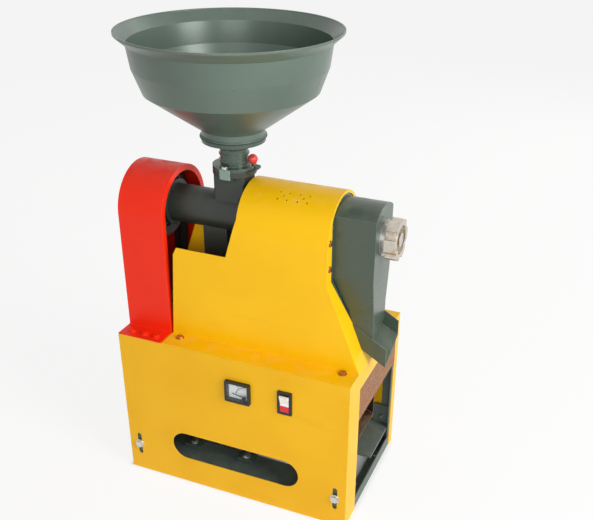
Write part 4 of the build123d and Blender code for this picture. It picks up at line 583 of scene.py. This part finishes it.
@dataclass(frozen=True)
class BoltRow:
    """Washers under equal bolts whose heads look the same way."""

    name: str
    finish: Finish
    slot: str
    radius: float
    direction: Point
    places: tuple[Point, ...]
    thickness: float = 1.4
    spread: float = 2.5
    play: float = 0.4
    lip_share: float = 0.3

    def profile(self) -> Profile:
        """Outline of a stamped washer with a rolled upper edge."""
        inner, outer, top = self.radius + self.play, self.spread * self.radius, self.thickness
        lip = self.lip_share * top
        return [(inner, 0.0), (outer, 0.0), (outer, top - lip), (outer - lip, top), (inner, top)]

    def build(self, body: str) -> bpy.types.Object:
        """Builds the washers as one piece.

        Args:
            body: CAD body that they ride on.

        Returns:
            The new object.
        """
        mesh = bmesh.new()
        for place in self.places:
            add_lathe(mesh, self.profile(), place, self.direction)
        return piece_of(self.name, mesh, self.finish, body)


# Sub-assemblies
@dataclass
class SubAssembly(ABC):
    """Part of the machine that gets its own pieces."""

    body: str = "frame"
    pieces: list[bpy.types.Object] = field(default_factory=list)

    @abstractmethod
    def build(self) -> None:
        """Builds the sub-assembly's own pieces."""


@dataclass
class Fasteners(SubAssembly):
    """Washers under the bolts that show."""

    slot_height: float = 79.0
    slot_across: float = 267.0
    motor_foot: float = 72.0
    end_wall: float = 214.0

    def build(self) -> None:
        """Builds the washers of every row of bolts."""
        deck, foot, slot = DECK_TOP + SHEET, self.motor_foot, self.slot_height
        sides = (-self.slot_across, self.slot_across)
        gold, bright, red = Finishes.GOLD_BOLT, Finishes.BRIGHT_BOLT, Finishes.GUARD_RED
        rows = (
            BoltRow("deck_washers", gold, "zinc_steel", 4.0, UP,
                    ((-148.0, -112.0, deck), (260.0, -105.0, deck), (-148.0, 112.0, deck),
                     (200.0, 112.0, deck))),
            BoltRow("guard_washers", red, "guard_enamel", 4.0, UP,
                    ((-269.0, -130.0, deck), (-235.0, -130.0, deck), (-203.0, -130.0, deck),
                     (-269.0, 113.0, deck), (-203.0, 113.0, deck))),
            BoltRow("end_wall_washers", gold, "zinc_steel", 3.0, RIGHT,
                    tuple((self.end_wall, y, z) for y in (-82.0, 82.0) for z in (640.0, 700.0)), 1.0),
            BoltRow("collar_washers", bright, "zinc_steel", 3.5, UP,
                    tuple((-48.0, y, COLLAR_FOOT) for y in (-42.0, 42.0)), 1.2, 1.8),
            BoltRow("front_slot_washers", bright, "zinc_steel", 5.0, FORWARD,
                    tuple((x, PANEL_FACE, slot) for x in sides), 1.8, 2.4),
            BoltRow("rear_slot_washers", bright, "zinc_steel", 5.0, BACKWARD,
                    tuple((x, BACK_FACE, slot) for x in sides), 1.8, 2.4),
            BoltRow("casting_foot_washers", gold, "zinc_steel", 4.0, UP,
                    tuple((x, y, CASTING_FOOT) for x in (-126.0, -45.0) for y in (-40.0, 40.0)), 1.2, 2.2),
            BoltRow("motor_foot_washers", bright, "zinc_steel", 5.0, UP,
                    tuple((x, y, foot) for x in (-147.0, 3.0) for y in (-80.0, 80.0)), 1.8, 2.3),
        )
        self.pieces = [row.build(self.body) for row in rows]


@dataclass
class FeedHopper(SubAssembly):
    """Rolled rim of the hopper and the joint ring at its foot."""

    rim_radius: float = 234.0
    rim_height: float = 1096.0
    bead: float = 2.0
    bead_steps: int = 12
    rim_segments: int = 128
    joint_height: float = 876.0
    joint_inner: float = 70.5
    joint_outer: float = 73.0
    joint_root: float = 0.9
    joint_lip: float = 0.6
    joint_segments: int = 96

    def build(self) -> None:
        """Builds the rolled rim and the joint ring."""
        rim = bmesh.new()
        turns = [2.0 * math.pi * i / self.bead_steps for i in range(self.bead_steps)]
        bead = [(self.rim_radius + self.bead * math.cos(turn), self.bead * math.sin(turn)) for turn in turns]
        add_lathe(rim, bead, (FEED_AXIS[0], 0.0, self.rim_height), UP, self.rim_segments)
        joint = bmesh.new()
        ring = [(self.joint_inner, -self.joint_root), (self.joint_outer, -self.joint_lip),
                (self.joint_outer, self.joint_lip), (self.joint_inner, self.joint_root)]
        add_lathe(joint, ring, (FEED_AXIS[0], 0.0, self.joint_height), UP, self.joint_segments)
        self.pieces = [
            piece_of("hopper_rolled_rim", rim, Finishes.HOPPER_GREY, self.body),
            piece_of("hopper_joint_ring", joint, Finishes.GASKET_RUBBER, self.body),
        ]


@dataclass
class GateKnob(SubAssembly):
    """Moulded ball on the slide gate's pin, and the bright keeper plate under the gate."""

    body: str = "feed_gate"
    centre: Point = (0.0, 0.0, 828.0)
    radius: float = 11.0
    flat: float = 10.5
    steps: int = 24
    segments: int = 48
    plate_inner: float = 48.6
    plate_outer: float = 49.9
    plate_bottom: float = 789.0
    plate_top: float = 812.0
    plate_turn: float = 15.0
    plate_steps: int = 12
    plate_edge: float = 0.4
    edge_turn: float = 40.0

    def build(self) -> None:
        """Builds the ball and the keeper plate."""
        first = -math.asin(self.flat / self.radius)
        angles = [first + (math.pi / 2.0 - first) * i / self.steps for i in range(self.steps + 1)]
        ball = [(0.0, -self.flat)]
        ball += [(self.radius * math.cos(angle), self.radius * math.sin(angle)) for angle in angles[:-1]]
        ball.append((0.0, self.radius))
        mesh = bmesh.new()
        add_lathe(mesh, ball, self.centre, UP, self.segments)
        knob = piece_of("gate_ball_knob", mesh, Finishes.RED_PHENOLIC, self.body)
        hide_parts("gate_knob")
        self.pieces = [knob, self.keeper_plate()]

    def keeper_plate(self) -> bpy.types.Object:
        """Builds the curved plate that keeps the gate's guides and the collar in line."""
        corners = ((self.plate_inner, self.plate_bottom), (self.plate_outer, self.plate_bottom),
                   (self.plate_outer, self.plate_top), (self.plate_inner, self.plate_top))
        mesh = bmesh.new()
        rows = []
        for i in range(self.plate_steps + 1):
            angle = math.radians(-90.0 + self.plate_turn * (2.0 * i / self.plate_steps - 1.0))
            rows.append([mesh.verts.new(metres((FEED_AXIS[0] + r * math.cos(angle), r * math.sin(angle), z)))
                         for r, z in corners])
        for here, there in zip(rows, rows[1:]):
            for k in range(len(corners)):
                n = (k + 1) % len(corners)
                mesh.faces.new((here[k], there[k], there[n], here[n]))
        mesh.faces.new(rows[0])
        mesh.faces.new(list(reversed(rows[-1])))
        # Its sharp edges are softened
        bmesh.ops.recalc_face_normals(mesh, faces=mesh.faces)
        sharp = [edge for edge in mesh.edges if edge.calc_face_angle(0.0) > math.radians(self.edge_turn)]
        bmesh.ops.bevel(mesh, geom=sharp, offset=mm(self.plate_edge), segments=2, affect="EDGES")
        return piece_of("gate_keeper_plate", mesh, Finishes.PHOSPHATED_STEEL, "frame")


@dataclass
class VoltDial(SubAssembly):
    """Panel meter: printed scale with plain numbers, the pointer's blade and the zero adjuster."""

    pivot: tuple[float, float] = (39.0, 305.0)
    face: float = -147.6
    arc_radius: float = 25.0
    arc_width: float = 1.3
    first_angle: float = 9.7
    sweep: float = 80.0
    steps: int = 10
    numbered: tuple[int, ...] = (0, 5, 10)
    top_value: int = 500
    number_height: float = 4.4
    number_radius: float = 31.0
    blade_face: float = -151.9
    blade_length: float = 31.0
    blade_root: float = 1.5
    blade_tip: float = 0.7
    blade_thickness: float = 0.3
    adjuster_radius: float = 5.2
    adjuster_face: float = -158.8
    adjuster_height: float = 3.2
    adjuster_lip: float = 0.5
    slot_half: float = 0.4
    slot_end: float = 1.0
    print_lift: float = 0.05
    arc_steps: int = 40
    long_mark: tuple[float, float] = (5.0, 0.012)
    short_mark: tuple[float, float] = (3.0, 0.008)

    def point(self, radius: float, share: float) -> Vector:
        """Point on the dial at a radius and a share of the needle's sweep."""
        angle = math.radians(self.first_angle + self.sweep * share)
        x = self.pivot[0] - radius * math.cos(angle)
        z = self.pivot[1] + radius * math.sin(angle)
        return metres((x, self.face, z))

    def build(self) -> None:
        """Builds the scale, its numbers, the blade and the adjuster."""
        self.pieces = [self.scale(), self.blade(), self.adjuster()]
        self.pieces += [self.number(i) for i in self.numbered]

    def scale(self) -> bpy.types.Object:
        """Prints the arc and its marks, drawn a little coarse so that they show."""
        mesh = bmesh.new()
        count = self.arc_steps
        strips = [(self.arc_radius, self.arc_radius + self.arc_width, i / count, (i + 1) / count)
                  for i in range(count)]
        for i in range(self.steps + 1):
            reach, half = self.long_mark if i % 2 == 0 else self.short_mark
            share = i / self.steps
            strips.append((self.arc_radius - reach, self.arc_radius, share - half, share + half))
        for inner, outer, start, end in strips:
            corners = [self.point(inner, start), self.point(outer, start), self.point(outer, end),
                       self.point(inner, end)]
            mesh.faces.new([mesh.verts.new(corner) for corner in corners])
        return piece_of("dial_scale", mesh, Finishes.INK_BLACK, self.body, False)

    def blade(self) -> bpy.types.Object:
        """Builds the tapered blade that stiffens the pointer, riding on the pointer."""
        angle = math.radians(self.first_angle)
        along = Vector((-math.cos(angle), 0.0, math.sin(angle)))
        across = Vector((math.sin(angle), 0.0, math.cos(angle)))
        root = Vector((self.pivot[0], 0.0, self.pivot[1]))
        tip = root + along * self.blade_length
        outline = [root - across * self.blade_root, root + across * self.blade_root,
                   tip + across * self.blade_tip, tip - across * self.blade_tip]
        mesh = bmesh.new()
        layers = []
        for y in (self.blade_face, self.blade_face + self.blade_thickness):
            layers.append([mesh.verts.new(metres((corner.x, y, corner.z))) for corner in outline])
        front, back = layers
        mesh.faces.new(front)
        mesh.faces.new(list(reversed(back)))
        for i in range(len(outline)):
            j = (i + 1) % len(outline)
            mesh.faces.new((front[i], back[i], back[j], front[j]))
        return piece_of("pointer_blade", mesh, Finishes.INK_BLACK, "meter_pointer", False)

    def adjuster(self) -> bpy.types.Object:
        """Builds the slotted zero adjuster that sits in the window over the pivot."""
        mesh = bmesh.new()
        r, top, lip, half = self.adjuster_radius, self.adjuster_height, self.adjuster_lip, self.slot_half
        profile = [(0.0, 0.0), (r, 0.0), (r, top - 1.2 * lip), (r - lip, top), (0.0, top)]
        root = (self.pivot[0], self.adjuster_face + top, self.pivot[1])
        add_lathe(mesh, profile, root, FORWARD, 36)
        end = r - self.slot_end
        y = self.adjuster_face - self.print_lift
        slot = [mesh.verts.new(metres((self.pivot[0] + a, y, self.pivot[1] + b)))
                for a, b in ((-end, -half), (end, -half), (end, half), (-end, half))]
        mesh.faces.new(slot)
        return piece_of("zero_adjuster", mesh, Finishes.BEZEL_BLACK, self.body)

    def number(self, step: int) -> bpy.types.Object:
        """Prints one number of the scale.

        Args:
            step: which mark it stands at.

        Returns:
            The new text object.
        """
        value = self.top_value * step // self.steps
        text = bpy.data.curves.new(f"dial_number_{value}", "FONT")
        text.body = str(value)
        text.size = mm(self.number_height)
        text.align_x = "CENTER"
        text.align_y = "CENTER"
        text.materials.append(Finishes.INK_BLACK.material())
        number = bpy.data.objects.new(f"dial_number_{value}", text)
        number.location = self.point(self.number_radius, step / self.steps)
        number.rotation_euler = (math.radians(90.0), 0.0, 0.0)
        bpy.context.scene.collection.objects.link(number)
        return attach(number, self.body)


@dataclass
class Studio:
    """Pale floor, soft lamps and the photograph's camera; lengths are in metres, powers in watts."""

    floor_half: float = 14.0
    floor_white: str = "#f4f3f1"
    floor_drop: float = 0.0002
    floor_glow: float = 0.84
    ambient: float = 0.35
    under: dict[str, tuple[float, float]] = field(
        default_factory=lambda: {"X": (-0.31, 0.31), "Y": (-0.16, 0.23)})
    under_edge: float = 0.02
    look_height: float = 0.55
    sensor: float = 36.0
    reach: float = 100.0

    def build(self) -> None:
        """Builds the floor, the world, the lamps and the camera."""
        self.floor()
        self.world()
        # Key from the front right, so that the right-hand flanges and faces are the brightest
        self.lamp("key", (4.2, -1.3, 2.4), 2.2, 185.0)
        self.lamp("front", (1.7, -4.3, 1.8), 2.6, 66.0)
        self.lamp("rear", (1.2, 3.2, 2.4), 2.4, 30.0)
        self.camera()

    def floor(self) -> None:
        """Makes a pale floor that keeps the object's shadow and shows white to the camera."""
        mesh = bmesh.new()
        bmesh.ops.create_grid(mesh, x_segments=1, y_segments=1, size=self.floor_half)
        data = bpy.data.meshes.new("floor")
        mesh.to_mesh(data)
        mesh.free()
        floor = bpy.data.objects.new("floor", data)
        bpy.context.scene.collection.objects.link(floor)
        floor.location.z = -self.floor_drop
        made = bpy.data.materials.new("pale_floor")
        made.use_nodes = True
        tree = made.node_tree
        shader = tree.nodes["Principled BSDF"]
        shader.inputs["Base Color"].default_value = linear(self.floor_white)
        shader.inputs["Roughness"].default_value = 0.9
        white = add(tree, "ShaderNodeEmission", {"Strength": 1.0})
        seen = add(tree, MATH, (self.seen_directly(tree), self.floor_glow), **TIMES)
        seen = add(tree, MATH, (seen, self.clear_of_machine(tree)), **TIMES)
        mixed = add(tree, "ShaderNodeMixShader", (seen, shader.outputs[0], white))
        tree.links.new(mixed, tree.nodes["Material Output"].inputs["Surface"])
        data.materials.append(made)

    def clear_of_machine(self, tree: bpy.types.NodeTree) -> bpy.types.NodeSocket:
        """Socket that is 0 on the floor under the machine, which stays in its shade, and 1 elsewhere.

        Args:
            tree: node tree of the floor's material.

        Returns:
            Socket with the value.
        """
        place = add(tree, COORDINATES, out="Object")
        sides = []
        for letter, (low, high) in self.under.items():
            off = add(tree, MATH, (add(tree, SEPARATE, (place,), letter), (low + high) / 2.0),
                      operation="SUBTRACT")
            away = add(tree, MATH, (off,), operation="ABSOLUTE")
            half = (high - low) / 2.0
            sides.append(add(tree, MAP_RANGE, (away, half - self.under_edge, half, 0.0, 1.0), **SMOOTH))
        return add(tree, MATH, sides, operation="MAXIMUM")

    def seen_directly(self, tree: bpy.types.NodeTree) -> bpy.types.NodeSocket:
        """Socket that is 1 for rays from the camera, a reflection or a transmission.

        Args:
            tree: node tree of the floor's material or of the world.

        Returns:
            Socket with the value.
        """
        seen = add(tree, "ShaderNodeLightPath", out="Is Camera Ray")
        rays = seen.node.outputs
        for kind in ("Is Glossy Ray", "Is Transmission Ray"):
            seen = add(tree, MATH, (seen, rays[kind]), operation="MAXIMUM")
        return seen

    def world(self) -> None:
        """Makes a world that is white where it is seen and softer where it lights."""
        world = bpy.data.worlds.new("studio")
        bpy.context.scene.world = world
        world.use_nodes = True
        tree = world.node_tree
        strength = add(tree, MAP_RANGE, (self.seen_directly(tree), 0.0, 1.0, self.ambient, 1.0), **SMOOTH)
        sky = tree.nodes["Background"]
        sky.inputs["Color"].default_value = (1.0, 1.0, 1.0, 1.0)
        tree.links.new(strength, sky.inputs["Strength"])

    def lamp(self, name: str, place: Point, size: float, power: float) -> None:
        """Adds a soft square lamp that looks at the machine.

        Args:
            name: the lamp's name.
            place: where it stands, in metres.
            size: its side, in metres.
            power: its power, in watts.
        """
        light = bpy.data.lights.new(name, "AREA")
        light.size = size
        light.energy = power
        lamp = bpy.data.objects.new(name, light)
        lamp.location = place
        towards = Vector((0.0, 0.0, self.look_height)) - Vector(place)
        lamp.rotation_euler = towards.to_track_quat("-Z", "Y").to_euler()
        bpy.context.scene.collection.objects.link(lamp)

    def camera(self) -> None:
        """Sets the camera where the photograph was taken from."""
        data = bpy.data.cameras.new("photo_camera")
        data.sensor_fit = "HORIZONTAL"
        data.sensor_width = self.sensor
        data.lens = CAMERA_LENS
        data.shift_x, data.shift_y = CAMERA_SHIFT
        data.clip_end = self.reach
        camera = bpy.data.objects.new("photo_camera", data)
        azimuth, elevation = math.radians(CAMERA_AZIMUTH), math.radians(CAMERA_ELEVATION)
        flat = math.cos(elevation)
        back = Vector((math.sin(azimuth) * flat, -math.cos(azimuth) * flat, math.sin(elevation)))
        level = (-back).to_track_quat("-Z", "Y")
        camera.rotation_mode = "QUATERNION"
        camera.rotation_quaternion = level @ Quaternion((0.0, 0.0, 1.0), math.radians(CAMERA_ROLL))
        camera.location = metres(CAMERA_PLACE)
        bpy.context.scene.collection.objects.link(camera)
        bpy.context.scene.camera = camera


def main() -> None:
    """Dresses the frame, adds the pieces and sets the studio."""
    logging.basicConfig(level=logging.INFO, format="%(name)s: %(message)s")
    bpy.context.scene.view_settings.view_transform = "Standard"
    dress_nodes()
    for part in (Fasteners(), FeedHopper(), GateKnob(), VoltDial()):
        part.build()
        LOG.info("%s: %d pieces", type(part).__name__, len(part.pieces))
    Studio().build()


if __name__ == "__main__":
    main()
